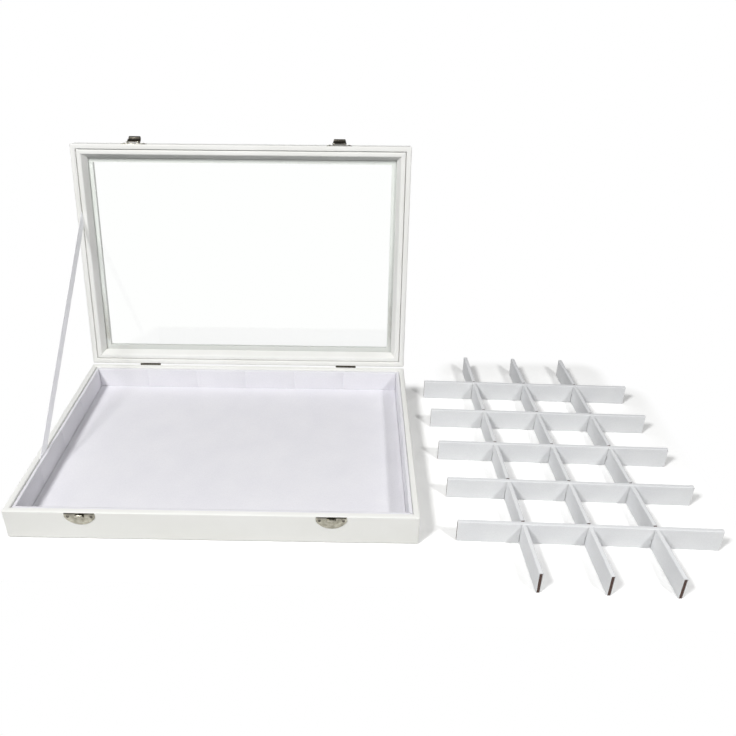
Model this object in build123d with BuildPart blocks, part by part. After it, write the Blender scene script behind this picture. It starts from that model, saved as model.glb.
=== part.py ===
from build123d import *
import os
from math import cos, radians, sin

os.makedirs("parts", exist_ok=True)

# All sizes are millimetres. X runs right, Y runs to the back, Z up, and the origin is the middle
# of the closed box's footprint on the table. The lid stands open, and the divider set stands on
# the table to the right of the box.

# Overall box
BOX_WIDTH = 350.0
BOX_DEPTH = 240.0
BASE_HEIGHT = 29.5
LID_HEIGHT = 15.5
PARTING_GAP = 0.4
OPEN_ANGLE = 99.5
SIDES = ("front", "back", "left", "right")

# Walls: fibreboard wrapped in leatherette
WRAP = 0.6
BOARD = 4.0
RIM = BOARD + 2 * WRAP
WRAP_CORNER = 1.2
WRAP_EDGE = 0.5
BASE_TURN_IN = 10.0
UNDER_TURN_IN = 14.0

# Inside of the base
GROOVE = 0.5
LINING = 3.0
LINING_DROP = 1.5
LINING_ROUND = 1.2
BOTTOM_BOARD = 2.5
COVER = 0.5
COVER_INSET = 3.0
COVER_GAP = 0.3
PAD = 2.4
PAD_GAP = 0.4
PAD_ROUND = 1.4

# Lid frame: heights are measured from the mating face, into the lid
FRAME_WIDTH = 19.0
LID_TURN_IN = 8.0
GLASS = 2.0
GLASS_INSET = 6.0
LEDGE_WRAP_INSET = 7.5
BEAD_TOP = 0.8
BEAD_FLAT = 3.0
BEAD_ROUND = 5.7

# Hinges: their leaves lie on the back faces, and their barrels sit in the parting edge
HINGE_END_DISTANCE = 65.0
HINGE_WIDTH = 22.0
AXIS_OUT = 0.6
LEAF = 0.6
LEAF_REACH = 8.0
LEAF_EDGE_GAP = 0.2
LEAF_CORNER = 1.2
KNUCKLE_RADIUS = 1.2
KNUCKLE_COUNT = 5
KNUCKLE_GAP = 0.15
BARREL_FIT = 0.2
PIN_RADIUS = 0.55
PIN_CLEARANCE = 0.05
PIN_END = 0.4
SCREW_SPACING = 13.0
SCREW_DROP = 4.8
SCREW_RADIUS = 0.7
SCREW_HEAD_RADIUS = 1.25
SCREW_HEAD = 0.5
SCREW_LENGTH = 4.4
HOLE_FIT = 0.05

# Snap latches
LATCH_END_DISTANCES = (65.5, 73.6)
LATCH_NAMES = ("left", "right")
PLATE = 0.6
PLATE_WIDTH = 26.0
PLATE_SIDE = 4.4
PLATE_HEIGHT = 12.8
PLATE_EDGE_GAP = 0.6
PLATE_CORNER = 1.0
NAIL_SPACING = 20.0
NAIL_DROP = 3.6
NAIL_RADIUS = 0.6
NAIL_HEAD_RADIUS = 1.3
NAIL_HEAD = 0.5
NAIL_LENGTH = 3.4
HOOK_WIDTH = 8.0
HOOK_METAL = 0.7
HOOK_OUT = 2.7
HOOK_TOP = 1.6
HOOK_BOTTOM = 4.8
PIVOT_OUT = 2.2
PIVOT_UP = 2.0
PIVOT_RADIUS = 0.5
LUG = 0.8
LUG_RADIUS = 1.1
LUG_STEM = 1.3
LUG_INSIDE = 5.0
LEVER_SIDE_GAP = 0.2
EAR_RADIUS = 1.3
LEVER_METAL = 0.7
LEVER_BULGE = 2.6
LEVER_REACH = 7.8
LEVER_LIP = 1.9
LEVER_TOP = 0.9
LEVER_OPEN_ANGLES = (140.0, 150.0)
RIVET_HEAD_RADIUS = 0.9
RIVET_HEAD = 0.3

# Ribbon stay on the left
RIBBON_WIDTH = 11.0
RIBBON = 0.35
RIBBON_BASE_Y = -40.0
RIBBON_LID_REACH = 163.0
RIBBON_BASE_TUCK = 8.0
RIBBON_LID_TUCK = 5.0

# Divider set: three long strips crossed by five short ones
CELL_PITCH = 55.0
LONG_COUNT = 3
CROSS_COUNT = 5
DIVIDER_HEIGHT = 21.0
DIVIDER_END_GAP = 1.3
DIVIDER_CORE = 2.4
VELVET = 0.7
VELVET_LIFT = 0.2
DIVIDER_ROUND = 0.5
SLOT_SIDE_GAP = 0.3
SLOT_SEAT_GAP = 0.2
SET_X = 312.8
SET_Y = -6.2
CROSS_TURN = -1.7
LONG_TURN = 2.55

# Sizes that follow from those above
AXIS_Y = BOX_DEPTH / 2 + AXIS_OUT
AXIS_Z = BASE_HEIGHT + PARTING_GAP / 2
BOARD_Z = COVER + WRAP
FLOOR_Z = BOARD_Z + BOTTOM_BOARD
LINING_NEAR = RIM + GROOVE
LINING_FAR = LINING_NEAR + LINING
BEAD_SHOULDER = LINING_NEAR + BEAD_FLAT
BEAD_FAR = BEAD_SHOULDER + BEAD_ROUND
GLASS_LEDGE = LID_HEIGHT - BOARD - 2 * WRAP
GLASS_FACE = GLASS_LEDGE - GLASS
INSIDE_WIDTH = BOX_WIDTH - 2 * LINING_FAR
INSIDE_DEPTH = BOX_DEPTH - 2 * LINING_FAR
HINGE_X = BOX_WIDTH / 2 - HINGE_END_DISTANCE
LATCH_X = (LATCH_END_DISTANCES[0] - BOX_WIDTH / 2, BOX_WIDTH / 2 - LATCH_END_DISTANCES[1])
KNUCKLE = (HINGE_WIDTH - (KNUCKLE_COUNT - 1) * KNUCKLE_GAP) / KNUCKLE_COUNT
LEVER_BACK = LUG_RADIUS + LEVER_SIDE_GAP
LEVER_INSIDE = LUG_INSIDE + LUG + LEVER_SIDE_GAP
LEVER_OUTSIDE = LEVER_INSIDE + LEVER_METAL
DIVIDER_THICK = DIVIDER_CORE + 2 * VELVET
LONG_LENGTH = INSIDE_WIDTH - 2 * DIVIDER_END_GAP
CROSS_LENGTH = INSIDE_DEPTH - 2 * DIVIDER_END_GAP
SHEAR = LONG_TURN - CROSS_TURN
SLOT = DIVIDER_THICK / cos(radians(SHEAR)) + DIVIDER_THICK * sin(radians(SHEAR)) + 2 * SLOT_SIDE_GAP

# The lid's own plane: at the hinge axis, with its normal pointing into the lid
lid_back = Vector(0, cos(radians(OPEN_ANGLE)), -sin(radians(OPEN_ANGLE)))
lid_up = Vector(0, sin(radians(OPEN_ANGLE)), cos(radians(OPEN_ANGLE)))
lid_seat = Plane(origin=(0, AXIS_Y, AXIS_Z), x_dir=(1, 0, 0), z_dir=lid_up)
LID_MIDDLE = -(AXIS_OUT + BOX_DEPTH / 2)

# Faces with their normals pointing out of the wood. On the front and back faces local y runs up the
# base, down the base and away from the lid's mating face, in that order.
mating_face = Plane(origin=lid_seat.offset(PARTING_GAP / 2).origin, x_dir=(-1, 0, 0), z_dir=-lid_up)
base_back = Plane(origin=(0, BOX_DEPTH / 2, BASE_HEIGHT), x_dir=(1, 0, 0), z_dir=(0, 1, 0))
lid_back_corner = lid_seat.from_local_coords((0, -AXIS_OUT, PARTING_GAP / 2))
lid_back_face = Plane(origin=lid_back_corner, x_dir=(-1, 0, 0), z_dir=lid_back)
base_front = Plane(origin=(0, -BOX_DEPTH / 2, BASE_HEIGHT), x_dir=(1, 0, 0), z_dir=(0, -1, 0))
lid_front_corner = lid_seat.from_local_coords((0, -(AXIS_OUT + BOX_DEPTH), PARTING_GAP / 2))
lid_front = Plane(origin=lid_front_corner, x_dir=(1, 0, 0), z_dir=-lid_back)


def lid_plane(height):
    """Plane in the lid, parallel to its mating face and this far into the lid."""
    return lid_seat.offset(PARTING_GAP / 2 + height)


def ring(plane, near, far, middle=0.0):
    """Frame-shaped sketch between two insets from the box's outline."""
    with BuildSketch(plane) as outline:
        with Locations((0, middle)):
            Rectangle(BOX_WIDTH - 2 * near, BOX_DEPTH - 2 * near)
            Rectangle(BOX_WIDTH - 2 * far, BOX_DEPTH - 2 * far, mode=Mode.SUBTRACT)
    return outline.sketch


def mitred_side(plane, side, near, far, middle=0.0):
    """Sketch of one mitred side of such a frame."""
    across = BOX_WIDTH / 2
    along = BOX_DEPTH / 2
    sign = -1 if side in ("front", "left") else 1
    if side in ("front", "back"):
        corners = [
            (-(across - near), sign * (along - near)),
            (across - near, sign * (along - near)),
            (across - far, sign * (along - far)),
            (-(across - far), sign * (along - far)),
        ]
    else:
        corners = [
            (sign * (across - near), -(along - near)),
            (sign * (across - near), along - near),
            (sign * (across - far), along - far),
            (sign * (across - far), -(along - far)),
        ]
    with BuildSketch(plane) as outline:
        with Locations((0, middle)):
            Polygon(*corners, align=None)
    return outline.sketch


def long_axis(side):
    """Direction in which a front, back, left or right piece runs."""
    return Axis.X if side in ("front", "back") else Axis.Y


def lid_section(side):
    """Plane across one side of the lid: local x runs inwards from its edge, local y into the lid."""
    edge, inward = {
        "front": ((0, LID_MIDDLE - BOX_DEPTH / 2), lid_back),
        "back": ((0, LID_MIDDLE + BOX_DEPTH / 2), -lid_back),
        "left": ((-BOX_WIDTH / 2, LID_MIDDLE), Vector(1, 0, 0)),
        "right": ((BOX_WIDTH / 2, LID_MIDDLE), Vector(-1, 0, 0)),
    }[side]
    origin = lid_seat.from_local_coords((*edge, PARTING_GAP / 2))
    return Plane(origin=origin, x_dir=inward, z_dir=inward.cross(lid_up))


def section(face, x):
    """Plane across a latch at x: local x points out of the face, local y up it."""
    return Plane(origin=face.from_local_coords((x, 0, 0)), x_dir=face.z_dir, z_dir=-face.x_dir)


def write(piece, name):
    """Label a finished piece and write its STEP file."""
    piece.part.label = name
    export_step(piece.part, f"parts/{name}.step")


# Hinge screws and latch nails: one solid of each, placed where they are driven
with BuildPart() as screw:
    with BuildSketch(Plane.XZ) as screw_half:
        Polygon(
            (0, 0),
            (SCREW_HEAD_RADIUS, 0),
            (SCREW_RADIUS, -SCREW_HEAD),
            (SCREW_RADIUS, -(SCREW_LENGTH - SCREW_RADIUS)),
            (0, -SCREW_LENGTH),
            align=None,
        )
    revolve(axis=Axis.Z)

with BuildPart() as nail:
    with BuildSketch(Plane.XZ) as nail_half:
        with BuildLine():
            TangentArc((0, NAIL_HEAD), (NAIL_HEAD_RADIUS, 0), tangent=(1, 0))
            Polyline(
                (NAIL_HEAD_RADIUS, 0),
                (NAIL_RADIUS, 0),
                (NAIL_RADIUS, -(NAIL_LENGTH - NAIL_RADIUS)),
                (0, -NAIL_LENGTH),
                (0, NAIL_HEAD),
            )
        make_face()
    revolve(axis=Axis.Z)


def screw_places(face):
    """Where the screws of both hinges enter a back face, on the leaves' outer side."""
    return [
        face.location * Location((x + offset, SCREW_DROP, LEAF))
        for x in (-HINGE_X, HINGE_X)
        for offset in (-SCREW_SPACING / 2, SCREW_SPACING / 2)
    ]


def nail_places(face, direction):
    """Where the nails of both latch plates enter a front face, on the plates' outer side."""
    return [
        face.location * Location((x + offset, direction * (PLATE_EDGE_GAP + NAIL_DROP), PLATE))
        for x in LATCH_X
        for offset in (-NAIL_SPACING / 2, NAIL_SPACING / 2)
    ]


def drill_screws(face):
    """Screw holes through whatever the face belongs to."""
    with Locations(*screw_places(face)):
        Cylinder(SCREW_RADIUS + HOLE_FIT, 2 * SCREW_LENGTH + 1, mode=Mode.SUBTRACT)


def drill_nails(face, direction):
    """Nail holes through whatever the face belongs to."""
    with Locations(*nail_places(face, direction)):
        Cylinder(NAIL_RADIUS + HOLE_FIT, 2 * NAIL_LENGTH + 1, mode=Mode.SUBTRACT)


def pin_plane(x):
    """Plane square to the hinge axis at x."""
    return Plane(origin=(x, AXIS_Y, AXIS_Z), x_dir=(0, 1, 0), z_dir=(1, 0, 0))


def cut_barrel_recess():
    """Round recesses in the parting edge, in which the hinge barrels turn."""
    with Locations(*[pin_plane(x).location for x in (-HINGE_X, HINGE_X)]):
        Cylinder(KNUCKLE_RADIUS + BARREL_FIT, HINGE_WIDTH + 2 * (PIN_END + BARREL_FIT), mode=Mode.SUBTRACT)


# Base walls, mitred at the corners
for side in SIDES:
    with BuildPart() as board:
        extrude(mitred_side(Plane.XY.offset(BOARD_Z), side, WRAP, WRAP + BOARD),
                amount=BASE_HEIGHT - WRAP - BOARD_Z)
        if side == "back":
            cut_barrel_recess()
            drill_screws(base_back)
        if side == "front":
            drill_nails(base_front, -1)
    write(board, f"base_board_{side}")

# Leatherette over the base walls: outside, over the rim, down the inside and under the edge
with BuildPart() as base_wrap:
    extrude(ring(Plane.XY.offset(COVER), 0, WRAP), amount=BASE_HEIGHT - COVER)
    extrude(ring(Plane.XY.offset(BASE_HEIGHT - WRAP), 0, RIM), amount=WRAP)
    extrude(ring(Plane.XY.offset(BASE_HEIGHT - BASE_TURN_IN), RIM - WRAP, RIM), amount=BASE_TURN_IN)
    extrude(ring(Plane.XY.offset(COVER), 0, UNDER_TURN_IN), amount=WRAP)
    fillet(base_wrap.edges().filter_by(Axis.Z).group_by(SortBy.LENGTH)[-1], WRAP_CORNER)
    fillet(base_wrap.faces().sort_by(Axis.Z)[-1].edges(), WRAP_EDGE)
    cut_barrel_recess()
    drill_screws(base_back)
    drill_nails(base_front, -1)
write(base_wrap, "base_wrap")

# Bottom board between the walls, and the backing card under it that hides the turned-in leatherette
with BuildPart() as bottom_board:
    with BuildSketch(Plane.XY.offset(BOARD_Z)):
        Rectangle(BOX_WIDTH - 2 * (WRAP + BOARD), BOX_DEPTH - 2 * (WRAP + BOARD))
    extrude(amount=BOTTOM_BOARD)
write(bottom_board, "bottom_board")

with BuildPart() as bottom_cover:
    with BuildSketch(Plane.XY):
        Rectangle(BOX_WIDTH - 2 * COVER_INSET, BOX_DEPTH - 2 * COVER_INSET)
    extrude(amount=COVER)
    with BuildSketch(Plane.XY.offset(COVER)):
        Rectangle(BOX_WIDTH - 2 * (UNDER_TURN_IN + COVER_GAP), BOX_DEPTH - 2 * (UNDER_TURN_IN + COVER_GAP))
    extrude(amount=WRAP)
write(bottom_cover, "bottom_cover")

# Velvet-covered lining boards, mitred, standing on the bottom board
for side in SIDES:
    with BuildPart() as lining:
        extrude(mitred_side(Plane.XY.offset(FLOOR_Z), side, LINING_NEAR, LINING_FAR),
                amount=BASE_HEIGHT - LINING_DROP - FLOOR_Z)
        fillet(lining.faces().sort_by(Axis.Z)[-1].edges().filter_by(long_axis(side)), LINING_ROUND)
    write(lining, f"lining_{side}")

# Velvet floor pad
with BuildPart() as floor_pad:
    with BuildSketch(Plane.XY.offset(FLOOR_Z)):
        Rectangle(INSIDE_WIDTH - 2 * PAD_GAP, INSIDE_DEPTH - 2 * PAD_GAP)
    extrude(amount=PAD)
    fillet(floor_pad.faces().sort_by(Axis.Z)[-1].edges(), PAD_ROUND)
write(floor_pad, "floor_pad")

# Lid rails: a wall and a flange that carries the glass, mitred at the corners
for side in SIDES:
    with BuildPart() as rail:
        extrude(mitred_side(lid_plane(WRAP), side, WRAP, WRAP + BOARD, LID_MIDDLE),
                amount=LID_HEIGHT - 2 * WRAP)
        extrude(mitred_side(lid_plane(GLASS_LEDGE + WRAP), side, WRAP, FRAME_WIDTH - WRAP, LID_MIDDLE),
                amount=LID_HEIGHT - GLASS_LEDGE - 2 * WRAP)
        if side == "back":
            cut_barrel_recess()
            drill_screws(lid_back_face)
        if side == "front":
            drill_nails(lid_front, 1)
    write(rail, f"lid_rail_{side}")

# Leatherette over the lid frame, turned in on the mating face and round the window
with BuildPart() as lid_wrap:
    extrude(ring(lid_plane(0), 0, WRAP, LID_MIDDLE), amount=LID_HEIGHT)
    extrude(ring(lid_plane(0), 0, RIM, LID_MIDDLE), amount=WRAP)
    extrude(ring(lid_plane(0), RIM - WRAP, RIM, LID_MIDDLE), amount=LID_TURN_IN)
    extrude(ring(lid_plane(LID_HEIGHT - WRAP), 0, FRAME_WIDTH, LID_MIDDLE), amount=WRAP)
    extrude(ring(lid_plane(GLASS_LEDGE), FRAME_WIDTH - WRAP, FRAME_WIDTH, LID_MIDDLE),
            amount=LID_HEIGHT - GLASS_LEDGE)
    extrude(ring(lid_plane(GLASS_LEDGE), LEDGE_WRAP_INSET, FRAME_WIDTH, LID_MIDDLE), amount=WRAP)
    lid_axis = Axis(lid_seat.origin, lid_up)
    fillet(lid_wrap.edges().filter_by(lid_axis).group_by(SortBy.LENGTH)[-1], WRAP_CORNER)
    fillet(lid_wrap.faces().sort_by(lid_axis)[-1].edges(), WRAP_EDGE)
    fillet(lid_wrap.faces().sort_by(lid_axis)[0].edges(), WRAP_EDGE)
    cut_barrel_recess()
    drill_screws(lid_back_face)
    drill_nails(lid_front, 1)
write(lid_wrap, "lid_wrap")

# Glass pane on the flange
with BuildPart() as glass_pane:
    with BuildSketch(lid_plane(GLASS_FACE)):
        with Locations((0, LID_MIDDLE)):
            Rectangle(BOX_WIDTH - 2 * GLASS_INSET, BOX_DEPTH - 2 * GLASS_INSET)
    extrude(amount=GLASS)
write(glass_pane, "glass_pane")

# Quarter-round beads that hold the glass, mitred at the corners
for side in SIDES:
    with BuildPart() as bead:
        with BuildSketch(lid_section(side)):
            with BuildLine():
                TangentArc((BEAD_SHOULDER, BEAD_TOP), (BEAD_FAR, BEAD_TOP + BEAD_ROUND), tangent=(1, 0))
                Polyline(
                    (BEAD_FAR, BEAD_TOP + BEAD_ROUND),
                    (BEAD_FAR, GLASS_FACE),
                    (LINING_NEAR, GLASS_FACE),
                    (LINING_NEAR, BEAD_TOP),
                    (BEAD_SHOULDER, BEAD_TOP),
                )
            make_face()
        extrude(amount=max(BOX_WIDTH, BOX_DEPTH) / 2, both=True)
        extrude(mitred_side(lid_plane(0), side, LINING_NEAR, BEAD_FAR, LID_MIDDLE), amount=GLASS_FACE,
                mode=Mode.INTERSECT)
    write(bead, f"glass_bead_{side}")

# Hinges: leaves with interleaved knuckles on a pin
BASE_KNUCKLES = range(0, KNUCKLE_COUNT, 2)
LID_KNUCKLES = range(1, KNUCKLE_COUNT, 2)


def knuckle_start(index):
    """Left end of a knuckle, from the middle of its hinge."""
    return -HINGE_WIDTH / 2 + index * (KNUCKLE + KNUCKLE_GAP)


def hinge_leaf(face, hinge_x, knuckles):
    """One leaf: a plate on a back face, and its share of the knuckles."""
    plate_edge = KNUCKLE_RADIUS + LEAF_EDGE_GAP - PARTING_GAP / 2
    turned = face.x_dir.X
    with BuildPart() as leaf:
        with BuildSketch(face) as plate:
            with Locations((turned * hinge_x, (plate_edge + LEAF_REACH) / 2)):
                Rectangle(HINGE_WIDTH, LEAF_REACH - plate_edge)
            fillet(plate.vertices().group_by(Axis.Y)[-1], LEAF_CORNER)
            for index in knuckles:
                with Locations((turned * (hinge_x + knuckle_start(index) + KNUCKLE / 2), plate_edge / 2)):
                    Rectangle(KNUCKLE, plate_edge)
        extrude(amount=LEAF)
        for index in knuckles:
            with BuildSketch(pin_plane(hinge_x + knuckle_start(index))):
                Circle(KNUCKLE_RADIUS)
            extrude(amount=KNUCKLE)
        with BuildSketch(pin_plane(hinge_x - HINGE_WIDTH / 2)):
            Circle(PIN_RADIUS + PIN_CLEARANCE)
        extrude(amount=HINGE_WIDTH, mode=Mode.SUBTRACT)
        with Locations(*screw_places(face)):
            Cylinder(SCREW_RADIUS + HOLE_FIT, 2 * SCREW_LENGTH, mode=Mode.SUBTRACT)
            Cone(SCREW_RADIUS + HOLE_FIT, SCREW_HEAD_RADIUS + HOLE_FIT, SCREW_HEAD + HOLE_FIT,
                 align=(Align.CENTER, Align.CENTER, Align.MAX), mode=Mode.SUBTRACT)
    return leaf


for name, hinge_x in zip(LATCH_NAMES, (-HINGE_X, HINGE_X)):
    write(hinge_leaf(base_back, hinge_x, BASE_KNUCKLES), f"hinge_base_leaf_{name}")
    write(hinge_leaf(lid_back_face, hinge_x, LID_KNUCKLES), f"hinge_lid_leaf_{name}")
    with BuildPart() as hinge_pin:
        with BuildSketch(pin_plane(hinge_x - HINGE_WIDTH / 2 - PIN_END)):
            Circle(PIN_RADIUS)
        extrude(amount=HINGE_WIDTH + 2 * PIN_END)
        chamfer(hinge_pin.edges().filter_by(GeomType.CIRCLE), PIN_RADIUS / 4)
    write(hinge_pin, f"hinge_pin_{name}")

for name, face in (("base", base_back), ("lid", lid_back_face)):
    with BuildPart() as screws:
        with Locations(*screw_places(face)):
            add(screw.part)
    write(screws, f"hinge_screws_{name}")


# Snap latches: a catch plate with a hook on the base, a hinged lever on a plate on the lid
def shield_plate(face, x, direction):
    """Half-round plate with its flat edge next to the parting line."""
    edge = direction * PLATE_EDGE_GAP
    shoulder = direction * (PLATE_EDGE_GAP + PLATE_SIDE)
    tip = direction * PLATE_HEIGHT
    half = PLATE_WIDTH / 2
    with BuildSketch(face) as outline:
        with BuildLine():
            Polyline((x - half, shoulder), (x - half, edge), (x + half, edge), (x + half, shoulder))
            ThreePointArc((x + half, shoulder), (x, tip), (x - half, shoulder))
        make_face()
        fillet(outline.vertices(), PLATE_CORNER)
    return outline.sketch


for name, latch_x, open_angle in zip(LATCH_NAMES, LATCH_X, LEVER_OPEN_ANGLES):
    with BuildPart() as catch_plate:
        extrude(shield_plate(base_front, latch_x, -1), amount=PLATE)
        with BuildSketch(section(base_front, latch_x)):
            with BuildLine():
                outer = ThreePointArc(
                    (PLATE, -HOOK_BOTTOM),
                    (HOOK_OUT, -0.45 * (HOOK_TOP + HOOK_BOTTOM)),
                    (0.8 * HOOK_OUT, -HOOK_TOP),
                )
                tip_edge = Line(outer @ 1, (0.8 * HOOK_OUT - HOOK_METAL, -HOOK_TOP))
                inner = ThreePointArc(
                    tip_edge @ 1,
                    (HOOK_OUT - HOOK_METAL, -0.45 * (HOOK_TOP + HOOK_BOTTOM)),
                    (PLATE, -(HOOK_BOTTOM - 1.4 * HOOK_METAL)),
                )
                Line(inner @ 1, outer @ 0)
            make_face()
        extrude(amount=HOOK_WIDTH / 2, both=True)
        drill_nails(base_front, -1)
    write(catch_plate, f"catch_plate_{name}")

    with BuildPart() as latch_plate:
        extrude(shield_plate(lid_front, latch_x, 1), amount=PLATE)
        for offset in (-(LUG_INSIDE + LUG / 2), LUG_INSIDE + LUG / 2):
            with BuildSketch(section(lid_front, latch_x + offset)):
                with Locations((PLATE + (PIVOT_OUT - PLATE) / 2, PIVOT_UP)):
                    Rectangle(PIVOT_OUT - PLATE, LUG_STEM)
                with Locations((PIVOT_OUT, PIVOT_UP)):
                    Circle(LUG_RADIUS)
                    Circle(PIVOT_RADIUS, mode=Mode.SUBTRACT)
            extrude(amount=LUG / 2, both=True)
        drill_nails(lid_front, 1)
    write(latch_plate, f"latch_plate_{name}")

    with BuildPart() as latch_pin:
        with BuildSketch(section(lid_front, latch_x)):
            with Locations((PIVOT_OUT, PIVOT_UP)):
                Circle(PIVOT_RADIUS)
        extrude(amount=LEVER_OUTSIDE + LEVER_SIDE_GAP / 2, both=True)
        for offset in (-(LEVER_OUTSIDE + LEVER_SIDE_GAP / 2 + RIVET_HEAD / 2),
                       LEVER_OUTSIDE + LEVER_SIDE_GAP / 2 + RIVET_HEAD / 2):
            with BuildSketch(section(lid_front, latch_x + offset)):
                with Locations((PIVOT_OUT, PIVOT_UP)):
                    Circle(RIVET_HEAD_RADIUS)
            extrude(amount=RIVET_HEAD / 2, both=True)
    write(latch_pin, f"latch_pin_{name}")

    # The lever is drawn hanging down in the latched position, in a plane turned open about its pin
    pivot = section(lid_front, latch_x).from_local_coords((PIVOT_OUT, PIVOT_UP, 0))
    turn = radians(open_angle)
    lever_out = lid_front.z_dir * cos(turn) + lid_front.y_dir * sin(turn)
    lever_plane = Plane(origin=pivot, x_dir=lever_out, z_dir=-lid_front.x_dir)
    with BuildPart() as latch_lever:
        with BuildSketch(lever_plane):
            with BuildLine():
                back_arc = ThreePointArc(
                    (LEVER_BACK + LEVER_METAL, -LEVER_TOP),
                    (LEVER_BULGE, -0.44 * LEVER_REACH),
                    (LEVER_BULGE - 1.0, -LEVER_REACH),
                )
                lip_back = ThreePointArc(
                    back_arc @ 1,
                    (LEVER_BULGE - LEVER_LIP, -(LEVER_REACH + LEVER_METAL)),
                    (LEVER_BULGE - 1.0 - LEVER_LIP, -(LEVER_REACH + LEVER_METAL)),
                )
                lip_end = Line(lip_back @ 1, (LEVER_BULGE - 1.0 - LEVER_LIP, -LEVER_REACH))
                lip_front = ThreePointArc(
                    lip_end @ 1,
                    (LEVER_BULGE - LEVER_LIP - 0.1, -(LEVER_REACH + 0.1)),
                    (LEVER_BULGE - 1.0 - LEVER_METAL, -(LEVER_REACH - 0.4)),
                )
                front_arc = ThreePointArc(
                    lip_front @ 1,
                    (LEVER_BULGE - LEVER_METAL, -0.44 * LEVER_REACH),
                    (LEVER_BACK, -LEVER_TOP),
                )
                Line(front_arc @ 1, back_arc @ 0)
            make_face()
        extrude(amount=LEVER_OUTSIDE, both=True)
        for offset in (-(LEVER_INSIDE + LEVER_METAL / 2), LEVER_INSIDE + LEVER_METAL / 2):
            ear_origin = pivot + lid_front.x_dir * offset
            with BuildSketch(Plane(origin=ear_origin, x_dir=lever_out, z_dir=-lid_front.x_dir)):
                Circle(EAR_RADIUS)
                Polygon(
                    (LEVER_BACK + LEVER_METAL / 2, -LEVER_TOP),
                    (0.3 * EAR_RADIUS, 0.7 * EAR_RADIUS),
                    (-0.7 * EAR_RADIUS, -0.7 * EAR_RADIUS),
                    (0.5 * EAR_RADIUS, -0.7 * LEVER_REACH),
                    (LEVER_BULGE - LEVER_METAL / 2, -0.7 * LEVER_REACH),
                    (LEVER_BULGE - LEVER_METAL / 2, -0.25 * LEVER_REACH),
                    align=None,
                )
            extrude(amount=LEVER_METAL / 2, both=True)
        with BuildSketch(lever_plane):
            Circle(PIVOT_RADIUS + PIN_CLEARANCE)
        extrude(amount=LEVER_OUTSIDE, both=True, mode=Mode.SUBTRACT)
    write(latch_lever, f"latch_lever_{name}")

for name, face, direction in (("catch", base_front, -1), ("latch", lid_front, 1)):
    with BuildPart() as nails:
        with Locations(*nail_places(face, direction)):
            add(nail.part)
    write(nails, f"{name}_nails")

# Ribbon stay: flat against the left wall, tucked into the groove of the base and of the lid
ribbon_x = -(BOX_WIDTH / 2 - RIM - GROOVE / 2)
ribbon_low = Vector(ribbon_x, RIBBON_BASE_Y, BASE_HEIGHT)
ribbon_high = mating_face.from_local_coords((-ribbon_x, -(AXIS_OUT + RIBBON_LID_REACH), 0))
ribbon_run = (ribbon_high - ribbon_low).normalized()
ribbon_start = ribbon_low - ribbon_run * RIBBON_BASE_TUCK
ribbon_end = ribbon_high + ribbon_run * RIBBON_LID_TUCK
with BuildPart() as lid_stay:
    with BuildSketch(Plane(origin=(ribbon_start + ribbon_end) * 0.5, x_dir=ribbon_run, z_dir=(1, 0, 0))):
        Rectangle((ribbon_end - ribbon_start).length, RIBBON_WIDTH)
    extrude(amount=RIBBON / 2, both=True)
write(lid_stay, "lid_stay")


# Divider set: fibreboard cores in velvet sleeves, halved together at the crossings
def divider(middle, turn, length, slot_count, slots_from_top):
    """Core and sleeve of one strip that runs along a direction in the table's plane."""
    along = Vector(cos(radians(turn)), sin(radians(turn)), 0)
    elevation = Plane(origin=middle, x_dir=along, z_dir=along.cross(Vector(0, 0, 1)))
    slot_height = DIVIDER_HEIGHT / 2 + SLOT_SEAT_GAP
    slot_middle = DIVIDER_HEIGHT - slot_height / 2 if slots_from_top else slot_height / 2
    with BuildSketch(elevation) as slots:
        with Locations((0, slot_middle)):
            with GridLocations(CELL_PITCH, 0, slot_count, 1):
                Rectangle(SLOT, slot_height)
    with BuildPart() as sleeve:
        with BuildSketch(elevation):
            with Locations((0, VELVET_LIFT)):
                Rectangle(length, DIVIDER_HEIGHT - VELVET_LIFT, align=(Align.CENTER, Align.MIN))
        extrude(amount=DIVIDER_THICK / 2, both=True)
        fillet(sleeve.faces().sort_by(Axis.Z)[-1].edges().filter_by(Axis(middle, along)), DIVIDER_ROUND)
        with BuildSketch(elevation):
            Rectangle(length, DIVIDER_HEIGHT - VELVET, align=(Align.CENTER, Align.MIN))
        extrude(amount=DIVIDER_CORE / 2, both=True, mode=Mode.SUBTRACT)
        extrude(slots.sketch, amount=DIVIDER_THICK, both=True, mode=Mode.SUBTRACT)
    with BuildPart() as core:
        with BuildSketch(elevation):
            Rectangle(length, DIVIDER_HEIGHT - VELVET, align=(Align.CENTER, Align.MIN))
        extrude(amount=DIVIDER_CORE / 2, both=True)
        extrude(slots.sketch, amount=DIVIDER_THICK, both=True, mode=Mode.SUBTRACT)
    return core, sleeve


cross_direction = Vector(cos(radians(CROSS_TURN)), sin(radians(CROSS_TURN)), 0)
long_direction = Vector(-sin(radians(LONG_TURN)), cos(radians(LONG_TURN)), 0)
set_middle = Vector(SET_X, SET_Y, 0)

for index in range(LONG_COUNT):
    offset = (index - (LONG_COUNT - 1) / 2) * CELL_PITCH
    core, sleeve = divider(set_middle + cross_direction * offset, 90 + LONG_TURN, LONG_LENGTH, CROSS_COUNT, True)
    write(core, f"long_divider_core_{index + 1}")
    write(sleeve, f"long_divider_velvet_{index + 1}")

for index in range(CROSS_COUNT):
    offset = (index - (CROSS_COUNT - 1) / 2) * CELL_PITCH
    core, sleeve = divider(set_middle + long_direction * offset, CROSS_TURN, CROSS_LENGTH, LONG_COUNT, False)
    write(core, f"cross_divider_core_{index + 1}")
    write(sleeve, f"cross_divider_velvet_{index + 1}")
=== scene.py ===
"""Looks of the glass-lid jewelry box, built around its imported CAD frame."""

import logging
import math
from dataclasses import dataclass
from enum import Enum
from typing import Any, Callable, Iterable, Optional, Sequence

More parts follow.
